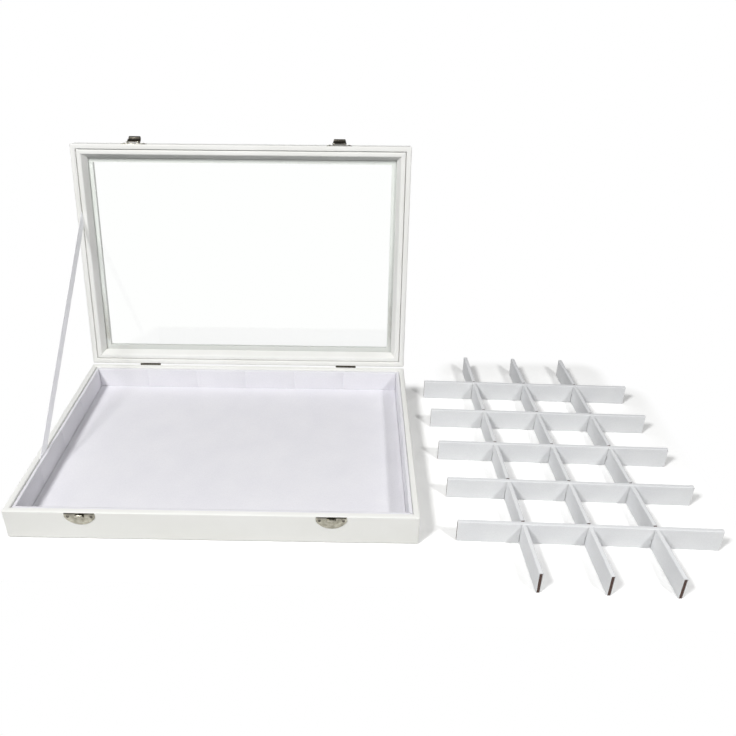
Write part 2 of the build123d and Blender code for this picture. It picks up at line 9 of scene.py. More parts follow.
import bmesh
import bpy
from mathutils import Matrix, Vector

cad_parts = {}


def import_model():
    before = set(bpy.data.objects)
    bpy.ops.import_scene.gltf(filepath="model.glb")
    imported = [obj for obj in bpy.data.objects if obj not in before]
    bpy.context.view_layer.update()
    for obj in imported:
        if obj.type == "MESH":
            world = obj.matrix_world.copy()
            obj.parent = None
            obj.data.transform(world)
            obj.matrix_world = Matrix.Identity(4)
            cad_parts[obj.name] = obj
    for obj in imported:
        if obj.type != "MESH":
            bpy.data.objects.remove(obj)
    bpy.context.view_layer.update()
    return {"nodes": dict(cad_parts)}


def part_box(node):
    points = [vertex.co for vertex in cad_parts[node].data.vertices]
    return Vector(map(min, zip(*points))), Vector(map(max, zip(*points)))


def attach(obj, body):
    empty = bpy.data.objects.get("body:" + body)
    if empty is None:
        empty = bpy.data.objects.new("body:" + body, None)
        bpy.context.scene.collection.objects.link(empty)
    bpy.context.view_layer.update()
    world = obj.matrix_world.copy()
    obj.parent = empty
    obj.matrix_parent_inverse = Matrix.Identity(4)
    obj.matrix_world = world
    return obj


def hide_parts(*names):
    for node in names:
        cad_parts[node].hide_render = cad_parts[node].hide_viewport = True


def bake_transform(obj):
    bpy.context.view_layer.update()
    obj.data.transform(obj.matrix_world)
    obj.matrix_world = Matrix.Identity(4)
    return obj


log = logging.getLogger("jewelry_box")

MM = 0.001
SLACK = 0.05 * MM
FLAT = 0.99
WAYS = (Vector((1, 0, 0)), Vector((0, 1, 0)))
HANDS = ("left", "right")
SMOOTH = {"interpolation_type": "SMOOTHSTEP"}
COLOURS = {"data_type": "RGBA"}
WHITE = (1.0, 1.0, 1.0, 1.0)
BLACK = (0.0, 0.0, 0.0, 1.0)

Material = bpy.types.Material
Piece = bpy.types.Object
Socket = bpy.types.NodeSocket
Points = tuple[tuple[float, float], ...]
PairTest = Callable[[Vector, Vector], bool]
PointTest = Callable[[Vector], bool]


# Finishes


def linear(code: str) -> tuple[float, float, float, float]:
    """Turn an sRGB hex colour into Blender's linear colour.

    Args:
        code: Colour such as "#E1E1E9".

    Returns:
        Red, green, blue and alpha, linear, with alpha 1.
    """
    channels = [int(code[i : i + 2], 16) / 255 for i in (1, 3, 5)]
    curved = [c / 12.92 if c <= 0.04045 else ((c + 0.055) / 1.055) ** 2.4 for c in channels]
    return (curved[0], curved[1], curved[2], 1.0)


def per_mm(size: float) -> float:
    """Return the texture scale whose features are this many millimetres across."""
    return 1.0 / (size * MM)


def add_node(
    material: Any,
    kind: str,
    settings: Optional[dict[str, Any]] = None,
    **inputs: Any,
) -> bpy.types.Node:
    """Add one node with its settings, values and links.

    Args:
        material: Material or world that owns the node tree.
        kind: Node type, such as "ShaderNodeTexNoise".
        settings: Values of the node's own properties.
        **inputs: Values or sockets by input name, with "_" for a space, or "in0" for a number.

    Returns:
        The new node.
    """
    tree = material.node_tree
    node = tree.nodes.new(kind)
    for name, value in (settings or {}).items():
        setattr(node, name, value)
    for name, value in inputs.items():
        numbered = name[:2] == "in" and name[2:].isdigit()
        socket = node.inputs[int(name[2:]) if numbered else name.replace("_", " ")]
        if isinstance(value, Socket):
            tree.links.new(value, socket)
        else:
            socket.default_value = value
    return node


def new_material(name: str, coordinates: str = "Object") -> tuple[Material, Socket]:
    """Start a material with an empty node tree.

    Args:
        name: Name of the finish.
        coordinates: Which coordinates its patterns follow.

    Returns:
        The material and the socket of its coordinates.
    """
    material = bpy.data.materials.new(name)
    material.use_nodes = True
    material.node_tree.nodes.clear()
    return material, add_node(material, "ShaderNodeTexCoord").outputs[coordinates]


def mottled(
    material: Material, place: Socket, size: float, dark: str, light: str, detail: float = 3.0
) -> Socket:
    """Blend two close colours in soft patches.

    Args:
        material: Material that owns the nodes.
        place: Coordinates of the pattern.
        size: Size of a patch in millimetres.
        dark: Hex colour of the darker patches.
        light: Hex colour of the lighter patches.
        detail: Octaves of the noise.

    Returns:
        The colour socket.
    """
    noise = add_node(
        material, "ShaderNodeTexNoise",
        Vector=place, Scale=per_mm(size), Detail=detail, Roughness=0.5,
    )
    ramp = add_node(material, "ShaderNodeValToRGB", Fac=noise.outputs["Fac"])
    for stop, position, code in zip(ramp.color_ramp.elements, (0.3, 0.7), (dark, light)):
        stop.position = position
        stop.color = linear(code)
    return ramp.outputs["Color"]


@dataclass(frozen=True)
class Leatherette:
    """Polyurethane leatherette, calendered on cloth with a fine pressed grain.

    It gives the eye a clean white with a soft satin shine and no weave.
    """

    name: str = "pu_leatherette_pressed"
    light: str = "#EFEFEC"
    dark: str = "#EBEBE7"
    patch: float = 45.0
    grain: float = 0.9
    grain_height: float = 0.05
    dent: float = 18.0
    dent_height: float = 0.3
    roughness: float = 0.42
    shine: float = 0.2

    def make(self) -> Material:
        """Return the finished material."""
        material, place = new_material(self.name)
        # Real grain is about 0.4 mm; it is drawn at twice that, so that it shows
        cells = add_node(material, "ShaderNodeTexVoronoi", Vector=place, Scale=per_mm(self.grain))
        dents = add_node(
            material, "ShaderNodeTexNoise", Vector=place, Scale=per_mm(self.dent), Detail=2.0
        )
        grain = add_node(
            material, "ShaderNodeBump",
            Strength=0.12, Distance=self.grain_height * MM, Height=cells.outputs["Distance"],
        )
        soft = add_node(
            material, "ShaderNodeBump", Strength=0.25, Distance=self.dent_height * MM,
            Height=dents.outputs["Fac"], Normal=grain.outputs["Normal"],
        )
        shader = add_node(
            material, "ShaderNodeBsdfPrincipled",
            Base_Color=mottled(material, place, self.patch, self.dark, self.light),
            Normal=soft.outputs["Normal"], Roughness=self.roughness, IOR=1.5,
            Specular_IOR_Level=self.shine,
        )
        add_node(material, "ShaderNodeOutputMaterial", Surface=shader.outputs["BSDF"])
        return material


@dataclass(frozen=True)
class Velvet:
    """Flocked velvet: short nylon fibres stood upright in glue on thin cloth.

    It gives the eye a matt cool white with soft patches where the pile leans, and pale edges.
    """

    name: str = "flocked_velvet"
    light: str = "#E7E6EA"
    dark: str = "#E3E2E7"
    patch: float = 30.0
    fibre: float = 0.9
    pile_height: float = 0.12
    flecks: tuple[float, float] = (0.955, 1.03)
    sheen: float = 0.25
    sheen_tint: str = "#F7F7FC"

    def make(self) -> Material:
        """Return the finished material."""
        material, place = new_material(self.name)
        # Fibres are 0.05 mm thick; tufts are drawn near 1 mm, so that the pile shows at all
        pile = add_node(
            material, "ShaderNodeTexNoise",
            Vector=place, Scale=per_mm(self.fibre), Detail=4.0, Roughness=0.7,
        ).outputs["Fac"]
        flecks = add_node(
            material, "ShaderNodeMapRange", Value=pile,
            From_Min=0.3, From_Max=0.7, To_Min=self.flecks[0], To_Max=self.flecks[1],
        )
        shaded = add_node(
            material, "ShaderNodeMix", {**COLOURS, "blend_type": "MULTIPLY"},
            in0=1.0, in6=mottled(material, place, self.patch, self.dark, self.light, 4.0),
            in7=flecks.outputs["Result"],
        )
        bump = add_node(
            material, "ShaderNodeBump",
            Strength=0.35, Distance=self.pile_height * MM, Height=pile,
        )
        shader = add_node(
            material, "ShaderNodeBsdfPrincipled",
            Base_Color=shaded.outputs[2], Normal=bump.outputs["Normal"], Roughness=0.95,
            Specular_IOR_Level=0.15, Sheen_Weight=self.sheen, Sheen_Roughness=0.45,
            Sheen_Tint=linear(self.sheen_tint),
        )
        add_node(material, "ShaderNodeOutputMaterial", Surface=shader.outputs["BSDF"])
        return material


@dataclass(frozen=True)
class PlatedSteel:
    """Stamped steel, nickel plated and left bright.

    It gives the eye warm grey mirror patches, dulled where fingers and tools have rubbed.
    """

    name: str = "nickel_plated_steel"
    light: str = "#B3B0A3"
    dark: str = "#7E7B6F"
    roughness: float = 0.2
    patch: float = 4.0
    rub: float = 1.2
    rub_range: tuple[float, float] = (0.7, 1.6)

    def make(self) -> Material:
        """Return the finished material."""
        material, place = new_material(self.name)
        smear = add_node(
            material, "ShaderNodeTexNoise", Vector=place, Scale=per_mm(self.rub), Detail=4.0
        )
        rub = add_node(
            material, "ShaderNodeMapRange", Value=smear.outputs["Fac"],
            To_Min=self.roughness * self.rub_range[0], To_Max=self.roughness * self.rub_range[1],
        )
        shader = add_node(
            material, "ShaderNodeBsdfPrincipled", Metallic=1.0, Roughness=rub.outputs["Result"],
            Base_Color=mottled(material, place, self.patch, self.dark, self.light, 5.0),
        )
        add_node(material, "ShaderNodeOutputMaterial", Surface=shader.outputs["BSDF"])
        return material


@dataclass(frozen=True)
class PressedBoard:
    """Fibreboard or hardboard: wood fibres pressed with resin, saw-cut at the edges.

    It gives the eye a matt brown with short fibres lying along the sheet.
    """

    name: str
    light: str
    dark: str
    fibre: float = 0.6
    fuzz: float = 0.3
    fuzz_height: float = 0.08

    def make(self) -> Material:
        """Return the finished material."""
        material, place = new_material(self.name)
        # Fibres lie flat, so the pattern is squeezed to a third of its height
        along = add_node(
            material, "ShaderNodeMapping", Vector=place, Scale=(1.0, 1.0, 3.0)
        ).outputs["Vector"]
        fuzz = add_node(
            material, "ShaderNodeTexNoise", Vector=along, Scale=per_mm(self.fuzz), Detail=3.0
        )
        bump = add_node(
            material, "ShaderNodeBump",
            Strength=0.4, Distance=self.fuzz_height * MM, Height=fuzz.outputs["Fac"],
        )
        shader = add_node(
            material, "ShaderNodeBsdfPrincipled", Normal=bump.outputs["Normal"], Roughness=0.9,
            Base_Color=mottled(material, along, self.fibre, self.dark, self.light, 5.0),
        )
        add_node(material, "ShaderNodeOutputMaterial", Surface=shader.outputs["BSDF"])
        return material


@dataclass(frozen=True)
class FloatGlass:
    """Float glass, 2 mm, with polished faces.

    It gives the eye almost nothing: a clear view with a faint reflection.
    """

    tint: str = "#FEFFFE"
    passed: str = "#FBFDFC"

    def make(self) -> Material:
        """Return the finished material."""
        material, _ = new_material("float_glass")
        shader = add_node(
            material, "ShaderNodeBsdfPrincipled",
            Base_Color=linear(self.tint), Roughness=0.0, IOR=1.5, Transmission_Weight=1.0,
        )
        # Light for the floor and the case passes straight through, as it nearly does in thin glass
        clear = add_node(material, "ShaderNodeBsdfTransparent", Color=linear(self.passed))
        path = add_node(material, "ShaderNodeLightPath")
        lighting = add_node(
            material, "ShaderNodeMath", {"operation": "MAXIMUM"},
            in0=path.outputs["Is Shadow Ray"], in1=path.outputs["Is Diffuse Ray"],
        )
        mix = add_node(
            material, "ShaderNodeMixShader",
            Fac=lighting.outputs[0], in1=shader.outputs["BSDF"], in2=clear.outputs["BSDF"],
        )
        add_node(material, "ShaderNodeOutputMaterial", Surface=mix.outputs["Shader"])
        return material


@dataclass(frozen=True)
class WovenRibbon:
    """Narrow woven velvet ribbon.

    It gives the eye a pale matt band, a little lit through, with fine ribs across it.
    """

    light: str = "#FCFCFD"
    dark: str = "#F2F2F4"
    glow: float = 0.3
    thin: float = 0.65
    rib_height: float = 0.03

    def make(self) -> Material:
        """Return the finished material."""
        material, place = new_material("woven_velvet_ribbon", "UV")
        # The map runs 1 per ribbon width, so this wave draws ribs 0.8 mm apart; real ones are finer
        ribs = add_node(
            material, "ShaderNodeTexWave", {"wave_type": "BANDS", "bands_direction": "Y"},
            Vector=place, Scale=4.5, Distortion=0.6,
        )
        noise = add_node(material, "ShaderNodeTexNoise", Vector=place, Scale=6.0, Detail=4.0)
        colour = add_node(
            material, "ShaderNodeMix", COLOURS,
            in0=noise.outputs["Fac"], in6=linear(self.dark), in7=linear(self.light),
        ).outputs[2]
        bump = add_node(
            material, "ShaderNodeBump",
            Strength=0.1, Distance=self.rib_height * MM, Height=ribs.outputs["Fac"],
        )
        shader = add_node(
            material, "ShaderNodeBsdfPrincipled",
            Base_Color=colour, Normal=bump.outputs["Normal"], Roughness=0.8, Sheen_Weight=0.3,
        )
        # The weave is thin, so a lamp behind it glows through, and its shadow is pale
        glow = add_node(material, "ShaderNodeBsdfTranslucent", Color=colour)
        cloth = add_node(
            material, "ShaderNodeMixShader",
            Fac=self.glow, in1=shader.outputs["BSDF"], in2=glow.outputs["BSDF"],
        )
        path = add_node(material, "ShaderNodeLightPath")
        share = add_node(
            material, "ShaderNodeMath", {"operation": "MULTIPLY"},
            in0=path.outputs["Is Shadow Ray"], in1=self.thin,
        )
        clear = add_node(material, "ShaderNodeBsdfTransparent")
        mix = add_node(
            material, "ShaderNodeMixShader",
            Fac=share.outputs[0], in1=cloth.outputs[0], in2=clear.outputs[0],
        )
        add_node(material, "ShaderNodeOutputMaterial", Surface=mix.outputs["Shader"])
        return material


class Finish(Enum):
    """The finishes of the jewelry box: the record's material slot and the variant."""

    LEATHERETTE = ("leatherette", "")
    VELVET = ("velvet", "tray")
    SLEEVE_VELVET = ("velvet", "sleeve")
    NICKEL = ("nickel", "bright")
    # Darker nickel: painted shade for the hinges in the gap at the back and for the latches'
    # recesses
    SHADE_PAINTED_NICKEL = ("nickel", "painted_shade")
    STEEL = ("steel", "")
    BROWN_BOARD = ("brown_board", "")
    FIBREBOARD = ("fibreboard", "")
    BACKING = ("backing_card", "")
    GLASS = ("clear_glass", "")
    RIBBON = ("ribbon", "")

    @property
    def slot(self) -> str:
        """Return the record's material slot."""
        return self.value[0]


class FinishShelf:
    """Every finish, made once and handed to the pieces."""

    def __init__(self, nodes: dict[str, Piece]) -> None:
        """Make all the materials and remember the frame's nodes."""
        self.nodes = nodes
        self.made: dict[Finish, Material] = {
            Finish.LEATHERETTE: Leatherette().make(),
            Finish.VELVET: Velvet().make(),
            Finish.SLEEVE_VELVET: Velvet("flocked_velvet_sleeve", "#E4E5E6", "#DFE0E2").make(),
            Finish.NICKEL: PlatedSteel().make(),
            # Painted shade: this darker nickel stands for the shade on the hinges and in the
            # latches' recesses
            Finish.SHADE_PAINTED_NICKEL: PlatedSteel(
                "nickel_barrel_plated", "#5E5A52", "#3B3831", 0.38, 3.0
            ).make(),
            Finish.STEEL: PlatedSteel("steel_wire_drawn", "#77736B", "#4C4943", 0.3, 1.5).make(),
            Finish.BROWN_BOARD: PressedBoard("hardboard_pressed", "#5C463E", "#3F2E29").make(),
            Finish.FIBREBOARD: PressedBoard("fibreboard_pressed", "#B59A7A", "#96795A").make(),
            Finish.BACKING: PressedBoard(
                "backing_card_calendered", "#D8D7D2", "#CCCAC4", 3.0
            ).make(),
            Finish.GLASS: FloatGlass().make(),
            Finish.RIBBON: WovenRibbon().make(),
        }

    def dress(self, piece: Piece, finish: Finish) -> None:
        """Give a piece one finish all over.

        Args:
            piece: Object to dress.
            finish: The finish it gets.
        """
        piece.data.materials.clear()
        piece.data.materials.append(self.made[finish])

    def dress_node(self, name: str, finish: Finish) -> None:
        """Give a node of the frame its finish."""
        self.dress(self.nodes[name], finish)
        log.info("%s: %s", name, finish.slot)

    def dress_faces(self, piece: Piece, faces: Sequence[int], finish: Finish) -> None:
        """Give some faces of a dressed piece a second finish.

        Args:
            piece: Object to dress.
            faces: Numbers of the faces.
            finish: The finish they get.
        """
        piece.data.materials.append(self.made[finish])
        for index in faces:
            piece.data.polygons[index].material_index = 1

    def hand_in(
        self, piece: Piece, finish: Finish, body: str, node: str, place: Optional[Matrix] = None
    ) -> Piece:
        """Smooth, place and dress one piece, attach it to its body and hide the node it stands for.

        Args:
            piece: The piece in its own frame.
            finish: Its finish.
            body: Body that it rides on.
            node: CAD node that it stands for.
            place: Matrix to its place, where it isn't there yet.

        Returns:
            The same piece.
        """
        Bench.smooth(piece)
        Bench.settle(piece, place)
        self.dress(piece, finish)
        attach(piece, body)
        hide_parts(node)
        log.info("%s: %s, on %s", piece.name, finish.slot, body)
        return piece


# Moves of the modelling bench


def near(value: float, target: float) -> bool:
    """Tell whether a value is as good as equal to a target."""
    return abs(value - target) <= SLACK


def level(a: Vector, b: Vector, axis: int, value: float) -> bool:
    """Tell whether both ends of an edge are at a value on an axis."""
    return near(a[axis], value) and near(b[axis], value)


def straight(a: Vector, b: Vector) -> bool:
    """Tell whether an edge keeps its X or its Y."""
    return near(a.x, b.x) or near(a.y, b.y)


def in_mm(*points: tuple[float, float]) -> Points:
    """Return points given in millimetres in metres."""
    return tuple((a * MM, b * MM) for a, b in points)


class Bench:
    """The few moves that every new piece is modelled with."""

    @staticmethod
    def clear() -> None:
        """Deselect every object."""
        if bpy.context.mode != "OBJECT":
            bpy.ops.object.mode_set(mode="OBJECT")
        bpy.ops.object.select_all(action="DESELECT")

    @staticmethod
    def take(*pieces: Piece) -> None:
        """Select only these pieces and make the last one active."""
        Bench.clear()
        for piece in pieces:
            piece.select_set(True)
        bpy.context.view_layer.objects.active = pieces[-1]

    @staticmethod
    def name(piece: Piece, name: str) -> Piece:
        """Name a piece and its mesh."""
        piece.name = name
        piece.data.name = name
        return piece

    @staticmethod
    def settle(piece: Piece, place: Optional[Matrix] = None) -> None:
        """Apply a piece's transforms, after moving it by a matrix if one is given."""
        if place is not None:
            piece.matrix_world = place @ piece.matrix_world
        Bench.take(piece)
        bpy.ops.object.transform_apply(location=True, rotation=True, scale=True)

    @staticmethod
    def added(name: str, scale: Sequence[float] = (1.0, 1.0, 1.0)) -> Piece:
        """Name the primitive that was just added, scale it and apply its transforms."""
        piece = Bench.name(bpy.context.active_object, name)
        piece.scale = scale
        Bench.settle(piece)
        return piece

    @staticmethod
    def block(name: str, low: Sequence[float], high: Sequence[float]) -> Piece:
        """Add a cube primitive and size it between two corners.

        Args:
            name: Name of the piece.
            low: Lowest corner in metres.
            high: Highest corner in metres.

        Returns:
            The new piece.
        """
        Bench.clear()
        middle = [(a + b) / 2 for a, b in zip(low, high)]
        bpy.ops.mesh.primitive_cube_add(size=1.0, location=middle)
        return Bench.added(name, [b - a for a, b in zip(low, high)])

    @staticmethod
    def rod(
        name: str, radius: float, length: float, middle: Sequence[float], sides: int = 24
    ) -> Piece:
        """Add a cylinder primitive that lies along X.

        Args:
            name: Name of the piece.
            radius: Its radius.
            length: Its length.
            middle: Its middle.
            sides: How many sides it has.

        Returns:
            The new piece.
        """
        Bench.clear()
        bpy.ops.mesh.primitive_cylinder_add(
            vertices=sides, radius=radius, depth=length, location=middle,
            rotation=(0, math.pi / 2, 0),
        )
        return Bench.added(name)

    @staticmethod
    def apply(piece: Piece, kind: str, **settings: Any) -> None:
        """Add a modifier with its settings and apply it.

        Args:
            piece: Object that gets it.
            kind: Modifier type, such as "BEVEL".
            **settings: Its properties.
        """
        Bench.take(piece)
        modifier = piece.modifiers.new(kind.lower(), kind)
        for name, value in settings.items():
            setattr(modifier, name, value)
        bpy.ops.object.modifier_apply(modifier=modifier.name)

    @staticmethod
    def soften(piece: Piece, width: float, angle: float = 50.0, segments: int = 2) -> None:
        """Round every edge that is sharper than an angle in degrees.

        Args:
            piece: Object that is rounded.
            width: Width of the rounding.
            angle: How sharp an edge has to be.
            segments: Steps of the rounding.
        """
        Bench.apply(
            piece, "BEVEL", width=width, segments=segments, limit_method="ANGLE",
            angle_limit=math.radians(angle),
        )

    @staticmethod
    def carve(piece: Piece, cutter: Piece, operation: str = "DIFFERENCE") -> None:
        """Cut one piece's space out of another and remove the cutter."""
        Bench.apply(piece, "BOOLEAN", operation=operation, solver="EXACT", object=cutter)
        bpy.data.objects.remove(cutter)

    @staticmethod
    def weld(piece: Piece, other: Piece) -> None:
        """Unite a second closed piece with the first and remove it."""
        Bench.carve(piece, other, "UNION")

    @staticmethod
    def smooth(piece: Piece, angle: float = 40.0) -> None:
        """Shade smooth across edges flatter than an angle in degrees."""
        Bench.take(piece)
        bpy.ops.object.shade_smooth_by_angle(angle=math.radians(angle))

    @staticmethod
    def copy(piece: Piece, name: str, place: Optional[Matrix] = None) -> Piece:
        """Copy a piece with its own mesh.

        Args:
            piece: Piece to copy.
            name: Name of the copy.
            place: Matrix that moves the copy.

        Returns:
            The copy, at the origin with its place in its mesh.
        """
        twin = piece.copy()
        twin.data = piece.data.copy()
        bpy.context.scene.collection.objects.link(twin)
        Bench.name(twin, name)
        if place is not None:
            Bench.settle(twin, place)
        return twin

    @staticmethod
    def join(pieces: Sequence[Piece], name: str) -> Piece:
        """Join pieces into one and name it."""
        Bench.take(*pieces)
        bpy.ops.object.join()
        return Bench.name(bpy.context.active_object, name)

    @staticmethod
    def turned(name: str, profile: Points, sides: int = 24) -> Piece:
        """Model a round piece along Z from a circle that is extruded and scaled.

        Args:
            name: Name of the piece.
            profile: Radius and height of each step, from one end to the other.
            sides: How many sides the circle has.

        Returns:
            The closed piece.
        """
        Bench.clear()
        radius, height = profile[0]
        bpy.ops.mesh.primitive_circle_add(
            vertices=sides, radius=radius, fill_type="NGON", location=(0, 0, height)
        )
        piece = Bench.added(name)
        with Edit(piece) as edit:
            bpy.ops.mesh.select_all(action="SELECT")
            for step, z in profile[1:]:
                edit.push((0, 0, z - height))
                edit.stretch((step / radius, step / radius, 1.0), (0, 0, z))
                radius, height = step, z
            edit.tidy()
        return piece

    @staticmethod
    def pin(name: str, profile: Points) -> Piece:
        """Model a turned pin and lay it along X."""
        piece = Bench.turned(name, profile, 20)
        Bench.settle(piece, Matrix.Rotation(math.pi / 2, 4, "Y"))
        return piece

    @staticmethod
    def strip(name: str, width: float, path: Points) -> Piece:
        """Model a strip of sheet along X that follows a path in Y and Z.

        Args:
            name: Name of the piece.
            width: Its width along X.
            path: Points of its middle line.

        Returns:
            The strip, without thickness.
        """
        Bench.clear()
        (y, z), (next_y, next_z) = path[:2]
        bpy.ops.mesh.primitive_plane_add(size=1.0, location=(0, y + 0.5, z))
        piece = Bench.added(name, (width, 1.0, 1.0))
        with Edit(piece) as edit:
            edit.points(lambda p: p.y > y + 0.5)
            edit.move((0, next_y - y - 1.0, next_z - z))
            edit.edges(lambda a, b: level(a, b, 1, next_y) and level(a, b, 2, next_z))
            for here, there in zip(path[1:], path[2:]):
                edit.push((0, there[0] - here[0], there[1] - here[1]))
            edit.tidy()
        return piece


class Edit:
    """One piece in edit mode, whose elements are chosen by their place."""

    def __init__(self, piece: Piece) -> None:
        """Remember the piece."""
        self.piece = piece

    def __enter__(self) -> "Edit":
        """Enter edit mode with nothing selected."""
        Bench.take(self.piece)
        bpy.ops.object.mode_set(mode="EDIT")
        bpy.ops.mesh.select_all(action="DESELECT")
        return self

    def __exit__(self, *_: Any) -> None:
        """Leave edit mode."""
        bpy.ops.object.mode_set(mode="OBJECT")

    def _choose(self, mode: str, group: str, test: Callable[[Any], bool]) -> None:
        """Select only the elements that pass a test.

        Args:
            mode: Select mode of their kind.
            group: Name of their kind in a mesh.
            test: The test.
        """
        bpy.ops.mesh.select_mode(type=mode)
        bpy.ops.mesh.select_all(action="DESELECT")
        mesh = bmesh.from_edit_mesh(self.piece.data)
        if mode == "FACE":
            mesh.normal_update()
        for element in [e for e in getattr(mesh, group) if test(e)]:
            element.select = True
        mesh.select_flush_mode()
        bmesh.update_edit_mesh(self.piece.data)

    def faces(self, test: PairTest) -> None:
        """Select the faces whose centre and normal pass a test."""
        self._choose("FACE", "faces", lambda f: test(f.calc_center_median(), f.normal))

    def edges(self, test: PairTest) -> None:
        """Select the edges whose two ends pass a test."""
        self._choose("EDGE", "edges", lambda e: test(e.verts[0].co, e.verts[1].co))

    def points(self, test: PointTest) -> None:
        """Select the points whose place passes a test."""
        self._choose("VERT", "verts", lambda v: test(v.co))

    @staticmethod
    def push(vector: Sequence[float]) -> None:
        """Extrude what is selected by a vector."""
        bpy.ops.mesh.extrude_region_move(TRANSFORM_OT_translate={"value": tuple(vector)})

    @staticmethod
    def move(vector: Sequence[float]) -> None:
        """Move what is selected."""
        bpy.ops.transform.translate(value=tuple(vector))

    @staticmethod
    def stretch(factors: Sequence[float], centre: Sequence[float] = (0.0, 0.0, 0.0)) -> None:
        """Scale what is selected about a point."""
        bpy.ops.transform.resize(value=tuple(factors), center_override=tuple(centre))

    @staticmethod
    def inset(width: float, depth: float = 0.0) -> None:
        """Inset the selected faces, and raise them by a depth."""
        bpy.ops.mesh.inset(thickness=width, depth=depth, use_even_offset=True)

    @staticmethod
    def drop() -> None:
        """Delete the selected faces."""
        bpy.ops.mesh.delete(type="FACE")

    @staticmethod
    def round(width: float, segments: int = 4) -> None:
        """Bevel the selected edges."""
        bpy.ops.mesh.bevel(offset=width, segments=segments, affect="EDGES", clamp_overlap=True)

    @staticmethod
    def cut(place: Sequence[float], normal: Sequence[float], drop: bool = False) -> None:
        """Cut the whole mesh by a plane, and drop what lies on its normal's side if asked."""
        bpy.ops.mesh.select_all(action="SELECT")
        bpy.ops.mesh.bisect(plane_co=tuple(place), plane_no=tuple(normal), clear_outer=drop)
        bpy.ops.mesh.select_all(action="DESELECT")

    @staticmethod
    def tidy() -> None:
        """Merge doubles and turn all faces outwards."""
        bpy.ops.mesh.select_all(action="SELECT")
        bpy.ops.mesh.remove_doubles(threshold=0.01 * MM)
        bpy.ops.mesh.normals_make_consistent(inside=False)
        bpy.ops.mesh.select_all(action="DESELECT")

    def mitre(self, along: int, ends: Sequence[float], inner: float, reach: float) -> None:
        """Draw in the inner corners of a board, so that it meets its neighbours in mitres.

        Args:
            along: Axis that the board runs along.
            ends: Its two ends on that axis, the lower one first.
            inner: Its inner face on the other axis.
            reach: How far the corners are drawn in.
        """
        for sign, end in zip((1, -1), ends):
            self.points(lambda p: near(p[along], end) and near(p[1 - along], inner))
            self.move(sign * reach * WAYS[along])


# Sub-assemblies


class Side(Enum):
    """The four sides: the axis that each runs along, and the way inwards on the other axis."""

    FRONT = (0, 1.0)
    BACK = (0, -1.0)
    LEFT = (1, 1.0)
    RIGHT = (1, -1.0)

    @property
    def label(self) -> str:
        """Return the side's name as the nodes have it."""
        return self.name.lower()


@dataclass
class CaseSizes:
    """Sizes that the sub-assemblies share, in metres, as in the part's source."""

    width: float = 350.0 * MM
    depth: float = 240.0 * MM
    base_height: float = 29.5 * MM
    lid_height: float = 15.5 * MM
    parting: float = 0.4 * MM
    axis_out: float = 0.6 * MM
    rim: float = 5.2 * MM
    open_angle: float = 99.5
    wrap: float = 0.55 * MM
    wrap_round: float = 1.1 * MM
    hinges: tuple[float, float] = (-110.0 * MM, 110.0 * MM)
    latches: tuple[float, float] = (-109.5 * MM, 101.4 * MM)
    barrel_recess: float = 1.4 * MM
    barrel_length: float = 23.2 * MM

    @property
    def axis(self) -> Vector:
        """Return a point on the lid's hinge axis."""
        return Vector((0.0, self.depth / 2 + self.axis_out, self.base_height + self.parting / 2))

    @property
    def lid_middle(self) -> float:
        """Return the Y of the closed lid's middle, from the hinge axis."""
        return -(self.axis_out + self.depth / 2)

    @property
    def lid_place(self) -> Matrix:
        """Return the matrix from the closed lid's own frame to the open lid."""
        turn = Matrix.Rotation(-math.radians(self.open_angle), 4, "X")
        return Matrix.Translation(self.axis) @ turn

    def face(self, on_lid: bool, at_back: bool) -> Matrix:
        """Place of a front or back face: X along it, Y away from the parting line, Z out of it.

        Args:
            on_lid: Whether the face belongs to the open lid.
            at_back: Whether it is the face with the hinges.

        Returns:
            The matrix from the face's own frame to the box's.
        """
        turn = Matrix.Rotation(math.radians(90.0 if on_lid else -90.0), 4, "X")
        if on_lid == at_back:
            turn = Matrix.Rotation(math.pi, 4, "Z") @ turn
        if on_lid:
            y = -self.axis_out - (0.0 if at_back else self.depth)
            return self.lid_place @ Matrix.Translation((0, y, self.parting / 2)) @ turn
        y = self.depth / 2 if at_back else -self.depth / 2
        return Matrix.Translation((0, y, self.base_height)) @ turn

    def round_folds(self, edit: Edit, middle: float, heights: Sequence[float]) -> None:
        """Round the folds of a wrap: the edges at some heights and the outer corners.

        Args:
            edit: The wrap in edit mode.
            middle: The Y of its middle.
            heights: Where its level folds are.
        """

        def corner(p: Vector) -> bool:
            """Tell whether a point is on an outer corner, seen from above."""
            return near(abs(p.x), self.width / 2) and near(abs(p.y - middle), self.depth / 2)

        edit.edges(
            lambda a, b: straight(a, b)
            and (corner(a) and corner(b) or any(level(a, b, 2, height) for height in heights))
        )
        edit.round(self.wrap_round)
        edit.tidy()

    def thicken_wrap(self, piece: Piece, axis: Vector) -> None:
        """Give a wrap its thickness and cut the round recesses in which the barrels turn.

        Args:
            piece: The wrap.
            axis: A point on the hinge axis, in the wrap's present frame.
        """
        Bench.apply(piece, "SOLIDIFY", thickness=self.wrap, offset=-1.0, use_even_offset=True)
        for x in self.hinges:
            cutter = Bench.rod(
                "barrel_space", self.barrel_recess, self.barrel_length, (x, axis.y, axis.z)
            )
            Bench.carve(piece, cutter)


